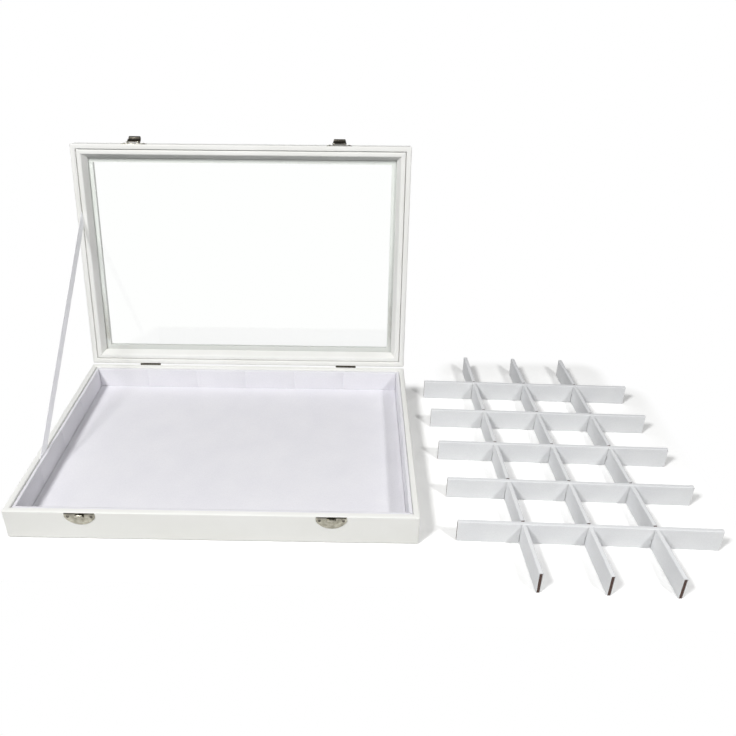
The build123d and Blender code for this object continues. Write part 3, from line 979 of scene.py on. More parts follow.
@dataclass
class WrappedBase:
    """Leatherette over the base walls, and the plain boards behind it."""

    sizes: CaseSizes
    shelf: FinishShelf
    turn_in: float = 10.0 * MM
    under: float = 14.0 * MM
    lift: float = 0.5 * MM

    def wrap(self) -> Piece:
        """Model the leatherette from one block: rim inset and turned in, base turned under."""
        s = self.sizes
        x, y = s.width / 2, s.depth / 2
        piece = Bench.block("leatherette_base", (-x, -y, self.lift), (x, y, s.base_height))
        with Edit(piece) as edit:
            edit.faces(lambda c, n: n.z > FLAT)
            edit.inset(s.rim)
            edit.push((0, 0, -self.turn_in))
            edit.drop()
            edit.faces(lambda c, n: n.z < -FLAT)
            edit.inset(self.under)
            edit.drop()
            s.round_folds(edit, 0.0, [s.base_height])
        s.thicken_wrap(piece, s.axis)
        return self.shelf.hand_in(piece, Finish.LEATHERETTE, "base", "base_wrap")

    def build(self) -> None:
        """Build the wrap and dress the boards."""
        self.wrap()
        for side in Side:
            self.shelf.dress_node(f"base_board_{side.label}", Finish.FIBREBOARD)
        self.shelf.dress_node("bottom_board", Finish.FIBREBOARD)
        self.shelf.dress_node("bottom_cover", Finish.BACKING)


@dataclass
class VelvetTray:
    """Velvet-covered boards that line the base, and the pad on its floor."""

    shelf: FinishShelf
    edge_round: float = 1.0 * MM
    press_depth: float = 0.55 * MM
    press_width: float = 1.0 * MM
    press_counts: tuple[int, int] = (5, 3)
    pitch: float = 55.0 * MM
    press_shift: float = -2.0 * MM
    swell: float = 0.4 * MM
    pad_swell: float = 0.3 * MM
    pad_round: float = 0.6 * MM
    lip: float = 0.3 * MM
    lip_width: float = 1.2 * MM
    flat_border: float = 2.0 * MM
    pad_cuts: int = 20

    def lining(self, side: Side) -> Piece:
        """Model one lining board from a block, with mitred ends and marks pressed by the strips.

        Args:
            side: The side that it stands at.

        Returns:
            The finished board.
        """
        node = f"lining_{side.label}"
        along, inward = side.value
        across, run = 1 - along, WAYS[along]
        low, high = (Vector(corner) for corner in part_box(node))
        if side is not Side.LEFT:
            (low if inward > 0 else high)[across] -= inward * self.swell
        inner = high[across] if inward > 0 else low[across]
        thick = high[across] - low[across]
        count = self.press_counts[along]
        piece = Bench.block(f"velvet_{node}", low, high)
        with Edit(piece) as edit:
            edit.mitre(along, (low[along], high[along]), inner, thick)
            edit.edges(lambda a, b: level(a, b, 2, high.z) and near(a[across], b[across]))
            edit.round(self.edge_round)
            for index in range(count):
                mark = (index - (count - 1) / 2) * self.pitch + self.press_shift
                for offset in (-self.press_width, 0.0, self.press_width):
                    edit.cut((mark + offset) * run, run)
                edit.points(
                    lambda p: near(p[along], mark) and abs(p[across] - inner) < self.edge_round
                )
                edit.move(-inward * self.press_depth * WAYS[across])
            edit.tidy()
        return self.shelf.hand_in(piece, Finish.VELVET, "base", node)

    def pad(self) -> Piece:
        """Model the floor pad: rounded edges with a slight lip, and a flat middle."""
        low, high = (Vector(corner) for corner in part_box("floor_pad"))
        swell = Vector((self.pad_swell, self.pad_swell, 0.0))
        piece = Bench.block("velvet_floor_pad", low - swell, high + swell)
        with Edit(piece) as edit:
            edit.edges(lambda a, b: level(a, b, 2, high.z))
            edit.round(self.pad_round)
            edit.faces(lambda c, n: n.z > FLAT)
            edit.inset(self.lip_width, -self.lip)
            edit.inset(self.flat_border)
            bpy.ops.mesh.subdivide(number_cuts=self.pad_cuts)
            edit.tidy()
        self.shelf.hand_in(piece, Finish.VELVET, "base", "floor_pad")
        return piece

    def build(self) -> None:
        """Build the four linings and the pad."""
        for side in Side:
            self.lining(side)
        self.pad()


@dataclass
class GlazedLid:
    """Leatherette lid frame with its glass and the beads that hold it."""

    sizes: CaseSizes
    shelf: FinishShelf
    frame: float = 19.0 * MM
    ledge: float = 10.3 * MM
    turn_in: float = 8.0 * MM
    ledge_inset: float = 7.5 * MM
    glass: float = 2.0 * MM
    bead_near: float = 5.7 * MM
    bead_far: float = 14.4 * MM
    bead_top: float = 0.8 * MM
    bead_run: float = 4.2 * MM
    bead_edge: float = 0.9 * MM
    mitre_gap: float = 0.08 * MM

    def wrap(self) -> Piece:
        """Model the leatherette of the closed lid from one block, then open it."""
        s = self.sizes
        x, y, middle = s.width / 2, s.depth / 2, s.lid_middle
        low, high = s.parting / 2, s.parting / 2 + s.lid_height
        piece = Bench.block("leatherette_lid", (-x, middle - y, low), (x, middle + y, high))
        with Edit(piece) as edit:
            edit.faces(lambda c, n: n.z > FLAT)
            edit.inset(self.frame)
            edit.push((0, 0, self.ledge - s.lid_height))
            # The leatherette turns outwards over the ledge that the glass lies against
            edit.push((0, 0, 0))
            wider = [(half - self.ledge_inset) / (half - self.frame) for half in (x, y)]
            edit.stretch((*wider, 1.0), (0, middle, 0))
            edit.drop()
            edit.faces(lambda c, n: n.z < -FLAT and near(c.z, low))
            edit.inset(s.rim)
            edit.push((0, 0, self.turn_in))
            edit.drop()
            s.round_folds(edit, middle, [low, high])
        s.thicken_wrap(piece, Vector((0, 0, 0)))
        return self.shelf.hand_in(piece, Finish.LEATHERETTE, "lid", "lid_wrap", s.lid_place)

    def bead(self, side: Side) -> Piece:
        """Model one bead of the closed lid from a block, mitred and rounded, then open it.

        Args:
            side: The side of the glass that it holds.

        Returns:
            The finished bead.
        """
        s = self.sizes
        along, inward = side.value
        across, run = 1 - along, WAYS[along]
        reach, middle = (s.width / 2, s.depth / 2), (0.0, s.lid_middle)
        outer = middle[across] - inward * (reach[across] - self.bead_near)
        inner = middle[across] - inward * (reach[across] - self.bead_far)
        end = reach[along] - self.bead_near - self.mitre_gap
        low = [0.0, 0.0, s.parting / 2 + self.bead_top]
        high = [0.0, 0.0, s.parting / 2 + self.ledge - self.glass]
        low[along], high[along] = middle[along] - end, middle[along] + end
        low[across], high[across] = min(outer, inner), max(outer, inner)
        piece = Bench.block(f"leatherette_bead_{side.label}", low, high)
        with Edit(piece) as edit:
            drawn_in = self.bead_far - self.bead_near
            edit.mitre(along, (low[along], high[along]), inner, drawn_in)
            # The lower inner corners go out again, which slopes the face beside the glass
            for sign in (-1, 1):
                edit.points(
                    lambda p: near(p[across], inner) and near(p.z, low[2])
                    and p[along] * sign > middle[along] * sign
                )
                edit.move(self.bead_run * (sign * run - inward * WAYS[across]))
            edit.edges(lambda a, b: level(a, b, 2, low[2]) and near(a[across], b[across]))
            edit.round(self.bead_edge, 5)
            edit.tidy()
        node = f"glass_bead_{side.label}"
        return self.shelf.hand_in(piece, Finish.LEATHERETTE, "lid", node, s.lid_place)

    def build(self) -> None:
        """Build the wrap and the beads, and dress the rails and the glass."""
        self.wrap()
        for side in Side:
            self.bead(side)
            self.shelf.dress_node(f"lid_rail_{side.label}", Finish.FIBREBOARD)
        self.shelf.dress_node("glass_pane", Finish.GLASS)


@dataclass
class SnapLatches:
    """Two snap latches: catch plates with hooks on the base, hinged levers on the lid."""

    sizes: CaseSizes
    shelf: FinishShelf
    plate: float = 0.6 * MM
    half_width: float = 13.0 * MM
    flat_edge: float = 0.6 * MM
    arc_radius: float = 14.73 * MM
    arc_middle: float = -1.93 * MM
    corner: float = 1.0 * MM
    border: float = 1.0 * MM
    border_slope: float = 0.35 * MM
    emboss: float = 0.16 * MM
    top_roll: float = 0.4 * MM
    nail_x: float = 10.0 * MM
    nail_y: float = 4.2 * MM
    nail_profile: Points = in_mm(
        (0.10, -2.8), (0.60, -2.2), (0.60, 0.55), (1.30, 0.60),
        (1.22, 0.80), (0.95, 0.98), (0.50, 1.08), (0.12, 1.10),
    )
    hook_width: float = 8.0 * MM
    hook_metal: float = 0.7 * MM
    hook_tip: float = 0.6 * MM
    hook_taper: float = 0.82
    hook_path: Points = in_mm(
        (4.60, 0.35), (4.30, 1.00), (3.80, 1.65), (3.10, 2.20),
        (2.40, 2.32), (1.90, 2.10), (1.68, 1.80),
    )
    pivot_up: float = 2.0 * MM
    pivot_out: float = 2.2 * MM
    lug_x: float = 5.4 * MM
    lug: float = 0.8 * MM
    lug_radius: float = 1.1 * MM
    lug_foot: float = 0.5 * MM
    lug_under: float = 0.6
    lever_x: float = 6.35 * MM
    lever_metal: float = 0.7 * MM
    lever_path: Points = in_mm(
        (-0.95, 1.62), (-2.20, 2.00), (-3.60, 2.22), (-5.20, 2.12),
        (-6.60, 1.75), (-7.55, 1.35), (-8.05, 0.75), (-8.12, 0.05),
    )
    lever_inside: float = 0.3
    lip_y: float = -7.9 * MM
    lip_taper: float = 0.93
    ear_end: float = -5.5 * MM
    ear_depth: float = 1.5 * MM
    ear_top: float = 1.0 * MM
    ear_lean: tuple[float, float] = (-0.7 * MM, -0.5 * MM)
    open_angles: tuple[float, float] = (140.0, 150.0)
    pin_profile: Points = in_mm(
        (0.75, -7.25), (0.9, -7.1), (0.5, -7.0), (0.5, 7.0), (0.9, 7.1), (0.75, 7.25)
    )

    def shield(self, name: str) -> Piece:
        """Model a shield plate: a disc cut to a half round, with a pressed field."""
        Bench.clear()
        bpy.ops.mesh.primitive_circle_add(
            vertices=96, radius=self.arc_radius, fill_type="NGON",
            location=(0, self.arc_middle, self.plate - self.emboss),
        )
        piece = Bench.added(name)
        with Edit(piece) as edit:
            edit.cut((self.half_width, 0, 0), (1, 0, 0), drop=True)
            edit.cut((-self.half_width, 0, 0), (-1, 0, 0), drop=True)
            edit.cut((0, self.flat_edge, 0), (0, -1, 0), drop=True)
            edit.faces(lambda c, n: True)
            edit.inset(self.border)
            edit.inset(self.border_slope, self.emboss)
        Bench.apply(piece, "SOLIDIFY", thickness=self.plate - self.emboss, offset=-1.0)
        with Edit(piece) as edit:
            edit.edges(
                lambda a, b: near(abs(a.x), self.half_width) and near(a.x, b.x) and near(a.y, b.y)
            )
            edit.round(self.corner)
            edit.edges(
                lambda a, b: level(a, b, 1, self.flat_edge)
                and a.z > self.plate / 2 and near(a.z, b.z)
            )
            edit.round(self.top_roll, 3)
        Bench.soften(piece, 0.1 * MM, 60.0)
        return piece

    def hook(self, name: str) -> Piece:
        """Model the catch's hook: a strip rolled out of the plate, narrower at its tip."""
        piece = Bench.strip(name, self.hook_width, self.hook_path)
        tip = self.hook_path[-1][0]
        with Edit(piece) as edit:
            edit.points(lambda p: p.y < tip + self.hook_tip)
            edit.stretch((self.hook_taper, 1, 1))
        Bench.apply(piece, "SOLIDIFY", thickness=self.hook_metal, offset=0.0)
        Bench.soften(piece, 0.16 * MM, segments=3)
        return piece

    def lug_pair(self, name: str) -> Piece:
        """Model the two lugs that carry the lever's pin, with their feet in the plate."""
        lugs = []
        for side in (-1, 1):
            middle = (side * self.lug_x, self.pivot_up, self.pivot_out)
            lug = Bench.rod(name, self.lug_radius, self.lug, middle)
            with Edit(lug) as edit:
                edit.faces(lambda c, n: n.z < -self.lug_under)
                edit.push((0, 0, self.lug_radius - self.pivot_out))
                edit.points(lambda p: p.z < self.lug_foot)
                edit.stretch((1, 1, 0), (0, 0, self.plate / 2))
                edit.tidy()
            Bench.soften(lug, 0.1 * MM)
            lugs.append(lug)
        return Bench.join(lugs, name)

    def lever(self, name: str) -> Piece:
        """Model a lever hanging from its pin: a curved strip with ears turned back."""
        piece = Bench.strip(name, 2 * self.lever_x, self.lever_path)
        top_y, top_z = self.lever_path[0]
        with Edit(piece) as edit:
            edit.edges(
                lambda a, b: near(abs(a.x), self.lever_x) and near(a.x, b.x)
                and min(a.y, b.y) > self.ear_end
            )
            edit.push((0, 0, -self.ear_depth))
            edit.edges(lambda a, b: level(a, b, 1, top_y) and near(a.x, b.x))
            edit.push((0, self.ear_top - top_y, 0))
            edit.points(lambda p: near(p.y, self.ear_top) and near(p.z, top_z))
            edit.move((0, *self.ear_lean))
            edit.points(lambda p: p.y < self.lip_y)
            edit.stretch((self.lip_taper, 1, 1))
            edit.tidy()
        Bench.apply(piece, "SOLIDIFY", thickness=self.lever_metal, offset=0.0)
        Bench.soften(piece, 0.15 * MM)
        return piece

    def build(self) -> None:
        """Build both latches from one set of patterns."""
        s, shelf = self.sizes, self.shelf
        base, lid = s.face(on_lid=False, at_back=False), s.face(on_lid=True, at_back=False)
        catch, latch = self.shield("catch_pattern"), self.shield("latch_pattern")
        Bench.weld(catch, self.hook("hook_pattern"))
        Bench.weld(latch, self.lug_pair("lug_pattern"))
        lever = self.lever("lever_pattern")
        pin = Bench.pin("pin_pattern", self.pin_profile)
        nail = Bench.turned("nail_pattern", self.nail_profile)
        nails: dict[str, list[Piece]] = {"catch": [], "latch": []}
        # Painted shade: the catch's band beside the parting line and the lever's inside take the
        # darker nickel, for the shade under the rim and in the lever's channel
        painted_shade = [
            face.index for face in catch.data.polygons
            if face.center.y < self.flat_edge + self.border and face.center.z < self.plate
        ]
        inner = [face.index for face in lever.data.polygons if face.normal.z < self.lever_inside]
        for hand, x, angle in zip(HANDS, s.latches, self.open_angles):
            below = base @ Matrix.Translation((-x, 0, 0))
            above = lid @ Matrix.Translation((x, 0, 0))
            pivot = lid @ Matrix.Translation((x, self.pivot_up, self.pivot_out))
            swung = pivot @ Matrix.Rotation(-math.radians(angle), 4, "X")
            shield = Bench.copy(catch, f"nickel_catch_{hand}")
            shelf.hand_in(shield, Finish.NICKEL, "base", f"catch_plate_{hand}", below)
            shelf.dress_faces(shield, painted_shade, Finish.SHADE_PAINTED_NICKEL)
            shelf.hand_in(
                Bench.copy(latch, f"nickel_latch_{hand}"), Finish.NICKEL, "lid",
                f"latch_plate_{hand}", above,
            )
            arm = Bench.copy(lever, f"nickel_lever_{hand}")
            shelf.hand_in(arm, Finish.NICKEL, f"lever_{hand}", f"latch_lever_{hand}", swung)
            shelf.dress_faces(arm, inner, Finish.SHADE_PAINTED_NICKEL)
            shelf.hand_in(
                Bench.copy(pin, f"steel_latch_pin_{hand}"), Finish.STEEL, "lid",
                f"latch_pin_{hand}", pivot,
            )
            for kind, place in (("catch", below), ("latch", above)):
                for side in (-1, 1):
                    spot = Matrix.Translation((side * self.nail_x, self.nail_y, 0))
                    nails[kind].append(Bench.copy(nail, f"{kind}_nail", place @ spot))
        for kind, body in (("catch", "base"), ("latch", "lid")):
            group = Bench.join(nails[kind], f"steel_{kind}_nails")
            shelf.hand_in(group, Finish.STEEL, body, f"{kind}_nails")
        for pattern in (catch, latch, lever, pin, nail):
            bpy.data.objects.remove(pattern)


@dataclass
class Hinges:
    """Two hinges at the back, with screwed leaves and interleaved knuckles."""

    sizes: CaseSizes
    shelf: FinishShelf
    width: float = 22.0 * MM
    leaf: float = 0.6 * MM
    reach: float = 8.0 * MM
    plate_edge: float = 1.2 * MM
    tongue: float = 0.95 * MM
    corner: float = 1.2 * MM
    knuckle_radius: float = 1.2 * MM
    knuckle: float = 4.28 * MM
    knuckle_gap: float = 0.15 * MM
    pin_radius: float = 0.6 * MM
    pin_profile: Points = in_mm((0.42, -11.4), (0.55, -11.27), (0.55, 11.27), (0.42, 11.4))
    screw_x: float = 6.5 * MM
    screw_y: float = 4.8 * MM
    screw_turns: tuple[float, float] = (35.0, 105.0)
    screw_profile: Points = in_mm(
        (0.08, -3.8), (0.60, -3.0), (0.70, -2.6), (0.70, 0.10),
        (1.25, 0.58), (1.05, 0.66), (0.60, 0.72), (0.12, 0.74),
    )
    slot_half: float = 0.17 * MM
    slot_floor: float = 0.46 * MM

    def plate(self, name: str, mine: Sequence[int], turned: float) -> Piece:
        """Model one leaf: a plate with rounded corners, and rolled knuckles joined to it.

        Args:
            name: Name of the leaf.
            mine: Which of the five knuckles are its own, counted from the left.
            turned: 1 where the leaf's X runs to the right, -1 where it runs to the left.

        Returns:
            The leaf in the frame of its face.
        """
        half = self.width / 2
        axis = (-self.sizes.parting / 2, self.sizes.axis_out)
        piece = Bench.block(name, (-half, self.plate_edge, 0), (half, self.reach, self.leaf))
        starts = [-half + index * (self.knuckle + self.knuckle_gap) for index in mine]
        spans = [(a, a + self.knuckle) if turned > 0 else (-a - self.knuckle, -a) for a in starts]
        with Edit(piece) as edit:
            edit.edges(lambda a, b: level(a, b, 1, self.reach) and near(a.x, b.x))
            edit.round(self.corner, 5)
            for x in (x for span in spans for x in span if not near(abs(x), half)):
                edit.cut((x, 0, 0), (1, 0, 0))
            edit.faces(lambda c, n: n.y < -FLAT and any(a < c.x < b for a, b in spans))
            edit.push((0, -self.tongue, 0))
            edit.tidy()
        for low, high in spans:
            middle = ((low + high) / 2, *axis)
            Bench.weld(piece, Bench.rod("knuckle", self.knuckle_radius, high - low, middle))
        Bench.carve(piece, Bench.rod("pin_space", self.pin_radius, 2 * self.width, (0, *axis), 20))
        Bench.soften(piece, 0.08 * MM, 60.0)
        return piece

    def screw(self) -> Piece:
        """Model a countersunk screw with a slotted head."""
        piece = Bench.turned("screw_pattern", self.screw_profile)
        reach, top = 2.0 * MM, 1.0 * MM
        slot = Bench.block(
            "slot_space", (-reach, -self.slot_half, self.slot_floor), (reach, self.slot_half, top)
        )
        Bench.carve(piece, slot)
        return piece

    def build(self) -> None:
        """Build both hinges."""
        s, shelf = self.sizes, self.shelf
        screw, pin = self.screw(), Bench.pin("hinge_pin_pattern", self.pin_profile)
        for on_lid, body, mine in ((False, "base", (0, 2, 4)), (True, "lid", (1, 3))):
            face = s.face(on_lid, at_back=True)
            turned = -1.0 if on_lid else 1.0
            pattern = self.plate("leaf_pattern", mine, turned)
            screws = []
            for hand, x in zip(HANDS, s.hinges):
                spot = face @ Matrix.Translation((turned * x, 0, 0))
                # Painted shade: the leaves take the darker nickel, for the shade in the gap at the
                # back
                shelf.hand_in(
                    Bench.copy(pattern, f"nickel_{body}_leaf_{hand}"), Finish.SHADE_PAINTED_NICKEL, body,
                    f"hinge_{body}_leaf_{hand}", spot,
                )
                # Each slot ends up at its own angle, as hand-driven screws do
                for side, angle in zip((-1, 1), self.screw_turns):
                    turn = Matrix.Rotation(math.radians(angle + x / MM), 4, "Z")
                    there = Matrix.Translation((side * self.screw_x, self.screw_y, 0)) @ turn
                    screws.append(Bench.copy(screw, "hinge_screw", spot @ there))
            group = Bench.join(screws, f"steel_hinge_screws_{body}")
            shelf.hand_in(group, Finish.STEEL, body, f"hinge_screws_{body}")
            bpy.data.objects.remove(pattern)
        for hand, x in zip(HANDS, s.hinges):
            place = Matrix.Translation((x, s.axis.y, s.axis.z))
            piece = Bench.copy(pin, f"steel_hinge_pin_{hand}")
            shelf.hand_in(piece, Finish.STEEL, "base", f"hinge_pin_{hand}", place)
        for pattern in (screw, pin):
            bpy.data.objects.remove(pattern)


@dataclass
class RibbonStay:
    """The ribbon that stops the lid, taut between the two grooves on the left."""

    sizes: CaseSizes
    shelf: FinishShelf
    width: float = 11.0 * MM
    thick: float = 0.35 * MM
    base_y: float = -40.0 * MM
    lid_reach: float = 163.0 * MM
    base_tuck: float = 8.0 * MM
    lid_tuck: float = 5.0 * MM
    x: float = -169.55 * MM
    steps: tuple[int, int] = (96, 4)
    past: float = 0.1

    def build(self) -> Piece:
        """Model the ribbon from a grid, stretched straight from base to lid."""
        s = self.sizes
        low = Vector((self.x, self.base_y, s.base_height))
        high = s.lid_place @ Vector((self.x, -(s.axis_out + self.lid_reach), s.parting / 2))
        run = (high - low).normalized()
        start, end = low - run * self.base_tuck, high + run * self.lid_tuck
        length = (end - start).length
        Bench.clear()
        bpy.ops.mesh.primitive_grid_add(
            x_subdivisions=self.steps[0], y_subdivisions=self.steps[1], size=1.0
        )
        piece = Bench.added("ribbon_stay", (length, self.width, 1.0))
        # The weave follows the ribbon: its map runs 1 per ribbon width, across and along
        layer = piece.data.uv_layers.active or piece.data.uv_layers.new(name="weave")
        for loop in piece.data.loops:
            point = piece.data.vertices[loop.vertex_index].co
            layer.data[loop.index].uv = (point.y / self.width + 0.5, point.x / self.width)
        side = WAYS[0].cross(run)
        turn = Matrix((run, side, WAYS[0])).transposed().to_4x4()
        Bench.settle(piece, Matrix.Translation((start + end) / 2) @ turn)
        Bench.apply(piece, "SOLIDIFY", thickness=self.thick, offset=0.0)
        Bench.smooth(piece, 50.0)
        self.shelf.dress(piece, Finish.RIBBON)
        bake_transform(piece)
        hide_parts("lid_stay")
        log.info("%s: %.0f mm long, from base to lid", piece.name, length / MM)
        return piece


@dataclass(frozen=True)
class StripKind:
    """One kind of divider strip, and how it and the strips that it crosses are turned."""

    name: str
    count: int
    length: float
    slots: int
    from_top: bool
    turn: float
    others_turn: float
    body: str


@dataclass
class DividerSet:
    """Velvet-sleeved strips that cross to make the compartments."""

    shelf: FinishShelf
    middle: tuple[float, float] = (312.8 * MM, -6.2 * MM)
    kinds: tuple[StripKind, ...] = (
        StripKind("long", 3, 330.0 * MM, 5, True, 92.55, -1.7, "long_strips"),
        StripKind("cross", 5, 220.0 * MM, 3, False, -1.7, 92.55, "cross_strip_{}"),
    )
    pitch: float = 55.0 * MM
    height: float = 21.0 * MM
    core: float = 2.4 * MM
    velvet: float = 0.7 * MM
    lift: float = 0.2 * MM
    edge_round: float = 0.75 * MM
    end_round: float = 1.0 * MM
    slot: float = 4.69 * MM
    slot_back: float = 0.9 * MM
    seat: float = 0.2 * MM
    spare: float = 1.0 * MM

    def sleeve(self, kind: StripKind) -> Piece:
        """Model one velvet sleeve along X at the origin.

        Args:
            kind: The kind of strip that it covers.

        Returns:
            The sleeve.
        """
        x, y, top = kind.length / 2, self.core / 2 + self.velvet, self.height
        piece = Bench.block(f"{kind.name}_sleeve_first", (-x, -y, self.lift), (x, y, top))
        with Edit(piece) as edit:
            edit.edges(lambda a, b: level(a, b, 2, top) and near(a.y, b.y))
            edit.round(self.edge_round)
            edit.edges(lambda a, b: near(abs(a.x), x) and near(a.x, b.x) and level(a, b, 2, top))
            edit.round(self.end_round)
            edit.tidy()
        core = self.core / 2
        spaces = [((-2 * x, -core, -self.spare), (2 * x, core, top - self.velvet))]
        reach, wide = top / 2 + self.seat, 10 * self.spare
        for index in range(kind.slots):
            left = (index - (kind.slots - 1) / 2) * self.pitch - self.slot / 2
            right = left + self.slot + (self.slot_back if kind.from_top else 0.0)
            low, high = (top - reach, top + self.spare) if kind.from_top else (-self.spare, reach)
            spaces.append(((left, -wide, low), (right, wide, high)))
        for low, high in spaces:
            Bench.carve(piece, Bench.block("slot_space", low, high))
        return piece

    def build(self) -> None:
        """Build one sleeve of each kind and copy it to every strip."""
        for kind in self.kinds:
            first = self.sleeve(kind)
            turn = Matrix.Rotation(math.radians(kind.turn), 4, "Z")
            step = Matrix.Rotation(math.radians(kind.others_turn), 3, "Z")
            for number in range(1, kind.count + 1):
                offset = (number - (kind.count + 1) / 2) * self.pitch
                centre = Vector((*self.middle, 0.0)) + step @ Vector((offset, 0, 0))
                self.shelf.hand_in(
                    Bench.copy(first, f"velvet_sleeve_{kind.name}_{number}"),
                    Finish.SLEEVE_VELVET,
                    kind.body.format(number),
                    f"{kind.name}_divider_velvet_{number}",
                    Matrix.Translation(centre) @ turn,
                )
                self.shelf.dress_node(f"{kind.name}_divider_core_{number}", Finish.BROWN_BOARD)
            bpy.data.objects.remove(first)


# Studio


@dataclass(frozen=True)
class SoftLamp:
    """One soft lamp aimed at the object."""

    name: str
    place: tuple[float, float, float]
    size: float
    level: float

    def hang(self, target: Vector) -> None:
        """Place the lamp; level is the brightness of a white card held square to it."""
        data = bpy.data.lights.new(self.name, "AREA")
        data.shape = "DISK"
        data.size = self.size
        gap = Vector(self.place) - target
        data.energy = self.level * math.pi**2 * gap.length_squared
        lamp = bpy.data.objects.new(self.name, data)
        bpy.context.scene.collection.objects.link(lamp)
        lamp.location = self.place
        lamp.rotation_euler = gap.to_track_quat("Z", "Y").to_euler()


@dataclass
class Studio:
    """Camera at the photograph's angle, floor, lamps and white surroundings."""

    focal_px: float = 717.44
    image_px: float = 736.0
    centre_px: tuple[float, float] = (341.84, 333.76)
    sensor: float = 36.0
    eye: tuple[float, float, float] = (116.12 * MM, -570.96 * MM, 446.7 * MM)
    turns: tuple[float, float, float] = (61.55, 0.88, 0.33)
    table: float = 60.0
    table_drop: float = 0.2 * MM
    floor_lift: float = 0.10
    floor_seen: str = "#FFFFFE"
    floor_bounce: str = "#D6D6D4"
    floor_far: str = "#282828"
    kept_shadows: tuple[tuple[tuple[float, float], tuple[float, float]], ...] = (
        ((15.0 * MM, -15.0 * MM), (178.0 * MM, 120.0 * MM)),
        ((313.0 * MM, -31.0 * MM), (112.0 * MM, 140.0 * MM)),
        ((318.0 * MM, 60.0 * MM), (72.0 * MM, 100.0 * MM)),
    )
    fade: tuple[float, float] = (12.0 * MM, 32.0 * MM)
    bounce_fade: tuple[float, float] = (20.0 * MM, 120.0 * MM)
    bounce_behind: tuple[float, float] = (120.0 * MM, 260.0 * MM)
    ambient: float = 0.15
    ambient_rise: float = 0.6
    ceiling: float = 0.12
    ceiling_fade: tuple[float, float] = (0.30, 0.65)
    target: tuple[float, float, float] = (0.12, 0.0, 0.03)
    lamps: tuple[SoftLamp, ...] = (
        SoftLamp("key_left_front", (-0.60, -0.86, 1.30), 0.33, 0.75),
        SoftLamp("fill_right_front", (0.704, -0.62, 0.80), 0.15, 0.37),
    )

    def camera(self) -> None:
        """Add the camera that was fitted to the box's corners in the photograph."""
        data = bpy.data.cameras.new("photo_camera")
        data.sensor_width = self.sensor
        data.lens = self.focal_px / self.image_px * self.sensor
        data.shift_x = (self.image_px / 2 - self.centre_px[0]) / self.image_px
        data.shift_y = (self.centre_px[1] - self.image_px / 2) / self.image_px
        data.clip_end = 100.0
        pitch, yaw, roll = (math.radians(angle) for angle in self.turns)
        turn = Matrix.Rotation(yaw, 4, "Z") @ Matrix.Rotation(pitch, 4, "X")
        camera = bpy.data.objects.new("photo_camera", data)
        bpy.context.scene.collection.objects.link(camera)
        camera.matrix_world = (
            Matrix.Translation(self.eye) @ turn @ Matrix.Rotation(roll, 4, "Z")
        )
        bpy.context.scene.camera = camera

    def floor(self) -> None:
        """Lay the table top, which looks white but keeps the object's shadow."""
        Bench.clear()
        bpy.ops.mesh.primitive_plane_add(size=self.table, location=(0, 0, -self.table_drop))
        floor = Bench.added("table_top")
        material, place = new_material("white_table_laminate")
        seen = self._seen(material)
        nearest = self._nearest(material, place)
        tint = add_node(
            material, "ShaderNodeMix", COLOURS,
            in0=seen, in6=self._bounce(material, place, nearest), in7=linear(self.floor_seen),
        )
        matt = add_node(material, "ShaderNodeBsdfDiffuse", Color=tint.outputs[2])
        glow = add_node(material, "ShaderNodeEmission", Color=WHITE, Strength=self.floor_lift)
        none = add_node(material, "ShaderNodeEmission", Color=BLACK, Strength=0.0)
        lift = add_node(
            material, "ShaderNodeMixShader", Fac=seen, in1=none.outputs[0], in2=glow.outputs[0]
        )
        both = add_node(material, "ShaderNodeAddShader", in0=matt.outputs[0], in1=lift.outputs[0])
        # Away from the object the table is plain white to the eye, so only near shadows show
        fade = add_node(
            material, "ShaderNodeMapRange", SMOOTH,
            Value=nearest, From_Min=self.fade[0], From_Max=self.fade[1],
        )
        far = add_node(
            material, "ShaderNodeMath", {"operation": "MULTIPLY"}, in0=fade.outputs[0], in1=seen
        )
        white = add_node(material, "ShaderNodeEmission", Color=WHITE, Strength=1.0)
        all_over = add_node(
            material, "ShaderNodeMixShader",
            Fac=far.outputs[0], in1=both.outputs[0], in2=white.outputs[0],
        )
        add_node(material, "ShaderNodeOutputMaterial", Surface=all_over.outputs[0])
        floor.data.materials.append(material)

    def _bounce(self, owner: Material, place: Socket, nearest: Socket) -> Socket:
        """Return the colour in which the table throws light back.

        Args:
            owner: Material that owns the nodes.
            place: Coordinates of the floor.
            nearest: How far a point lies outside the kept shadows.

        Returns:
            The colour socket.
        """
        # The table throws light up near the object only, as a small white sheet does
        dim = add_node(
            owner, "ShaderNodeMapRange", SMOOTH,
            Value=nearest, From_Min=self.bounce_fade[0], From_Max=self.bounce_fade[1],
        )
        # Behind the box it goes on throwing light, or the back would be nearly black
        depth = add_node(owner, "ShaderNodeSeparateXYZ", Vector=place).outputs["Y"]
        ahead = add_node(
            owner, "ShaderNodeMapRange", SMOOTH, Value=depth, To_Min=1.0, To_Max=0.0,
            From_Min=self.bounce_behind[0], From_Max=self.bounce_behind[1],
        )
        dark = add_node(
            owner, "ShaderNodeMath", {"operation": "MULTIPLY"},
            in0=dim.outputs[0], in1=ahead.outputs[0],
        )
        return add_node(
            owner, "ShaderNodeMix", COLOURS,
            in0=dark.outputs[0], in6=linear(self.floor_bounce), in7=linear(self.floor_far),
        ).outputs[2]

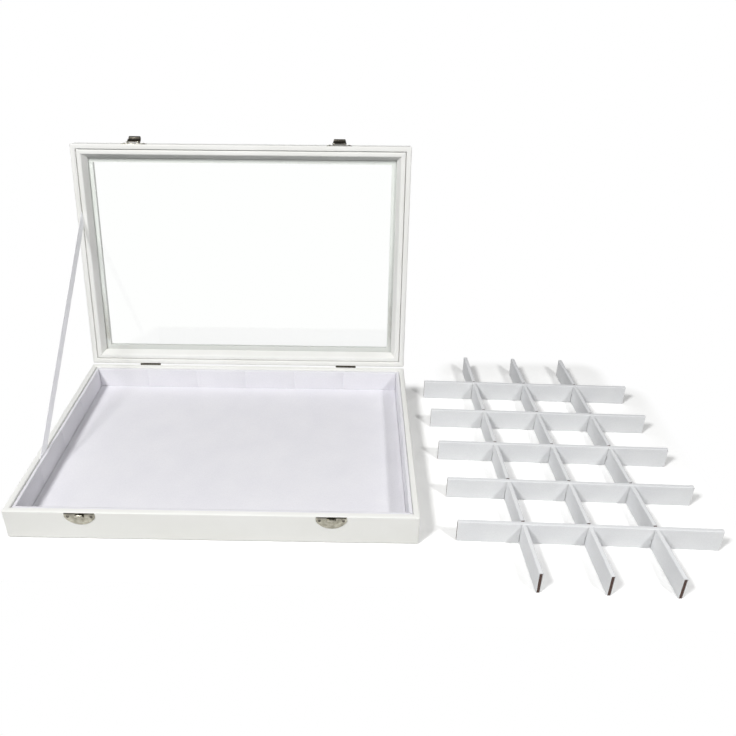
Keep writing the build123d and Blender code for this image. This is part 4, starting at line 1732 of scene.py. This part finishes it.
    def _nearest(self, owner: Material, place: Socket) -> Socket:
        """Return how far a point of the floor lies outside the kept shadows' rectangles.

        Args:
            owner: Material that owns the nodes.
            place: Coordinates of the floor.

        Returns:
            The distance socket, in metres.
        """
        gaps = []
        for centre, half in self.kept_shadows:
            socket = place
            for operation, value in (
                ("SUBTRACT", (*centre, 0.0)),
                ("ABSOLUTE", None),
                ("SUBTRACT", (*half, 10.0 * MM)),
                ("MAXIMUM", (0.0, 0.0, 0.0)),
                ("LENGTH", None),
            ):
                extra = {} if value is None else {"in1": value}
                node = add_node(
                    owner, "ShaderNodeVectorMath", {"operation": operation}, in0=socket, **extra
                )
                socket = node.outputs["Value" if operation == "LENGTH" else "Vector"]
            gaps.append(socket)
        nearest = gaps[0]
        for gap in gaps[1:]:
            nearest = add_node(
                owner, "ShaderNodeMath", {"operation": "MINIMUM"}, in0=nearest, in1=gap
            ).outputs[0]
        return nearest

    @staticmethod
    def _seen(owner: Any) -> Socket:
        """Return 1 for rays that the eye sees: straight, mirrored or through glass."""
        path = add_node(owner, "ShaderNodeLightPath")
        seen = path.outputs["Is Camera Ray"]
        for way in ("Is Glossy Ray", "Is Transmission Ray"):
            seen = add_node(
                owner, "ShaderNodeMath", {"operation": "MAXIMUM"}, in0=seen, in1=path.outputs[way]
            ).outputs[0]
        return seen

    def surroundings(self) -> None:
        """Light the scene softly from all round, and show white past the table."""
        world = bpy.data.worlds.new("white_room")
        bpy.context.scene.world = world
        world.use_nodes = True
        world.node_tree.nodes.clear()
        seen = self._seen(world)
        ray = add_node(world, "ShaderNodeTexCoord").outputs["Generated"]
        height = add_node(world, "ShaderNodeSeparateXYZ", Vector=ray).outputs["Z"]
        # The soft light of the room comes from above
        above = add_node(
            world, "ShaderNodeMapRange", SMOOTH, Value=height,
            From_Min=0.0, From_Max=self.ambient_rise, To_Min=0.0, To_Max=self.ambient,
        )
        dim = add_node(world, "ShaderNodeBackground", Color=WHITE, Strength=above.outputs[0])
        # Mirrored in metal, the white walls end in a dark ceiling
        wall = add_node(
            world, "ShaderNodeMapRange", SMOOTH, Value=height, To_Min=1.0, To_Max=self.ceiling,
            From_Min=self.ceiling_fade[0], From_Max=self.ceiling_fade[1],
        )
        white = add_node(world, "ShaderNodeBackground", Color=WHITE, Strength=wall.outputs[0])
        mix = add_node(
            world, "ShaderNodeMixShader", Fac=seen, in1=dim.outputs[0], in2=white.outputs[0]
        )
        add_node(world, "ShaderNodeOutputWorld", Surface=mix.outputs[0])

    def build(self) -> None:
        """Set up camera, table, lamps and surroundings."""
        self.camera()
        self.floor()
        self.surroundings()
        for lamp in self.lamps:
            lamp.hang(Vector(self.target))
        bpy.context.scene.view_settings.view_transform = "Standard"
        log.info("studio: camera, table and lamps")


def main() -> None:
    """Load the frame and build the jewelry box round it."""
    logging.basicConfig(level=logging.INFO, format="%(message)s")
    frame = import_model()
    Studio().build()
    sizes = CaseSizes()
    shelf = FinishShelf(frame["nodes"])
    RibbonStay(sizes, shelf).build()
    WrappedBase(sizes, shelf).build()
    VelvetTray(shelf).build()
    GlazedLid(sizes, shelf).build()
    SnapLatches(sizes, shelf).build()
    Hinges(sizes, shelf).build()
    DividerSet(shelf).build()


if __name__ == "__main__":
    main()
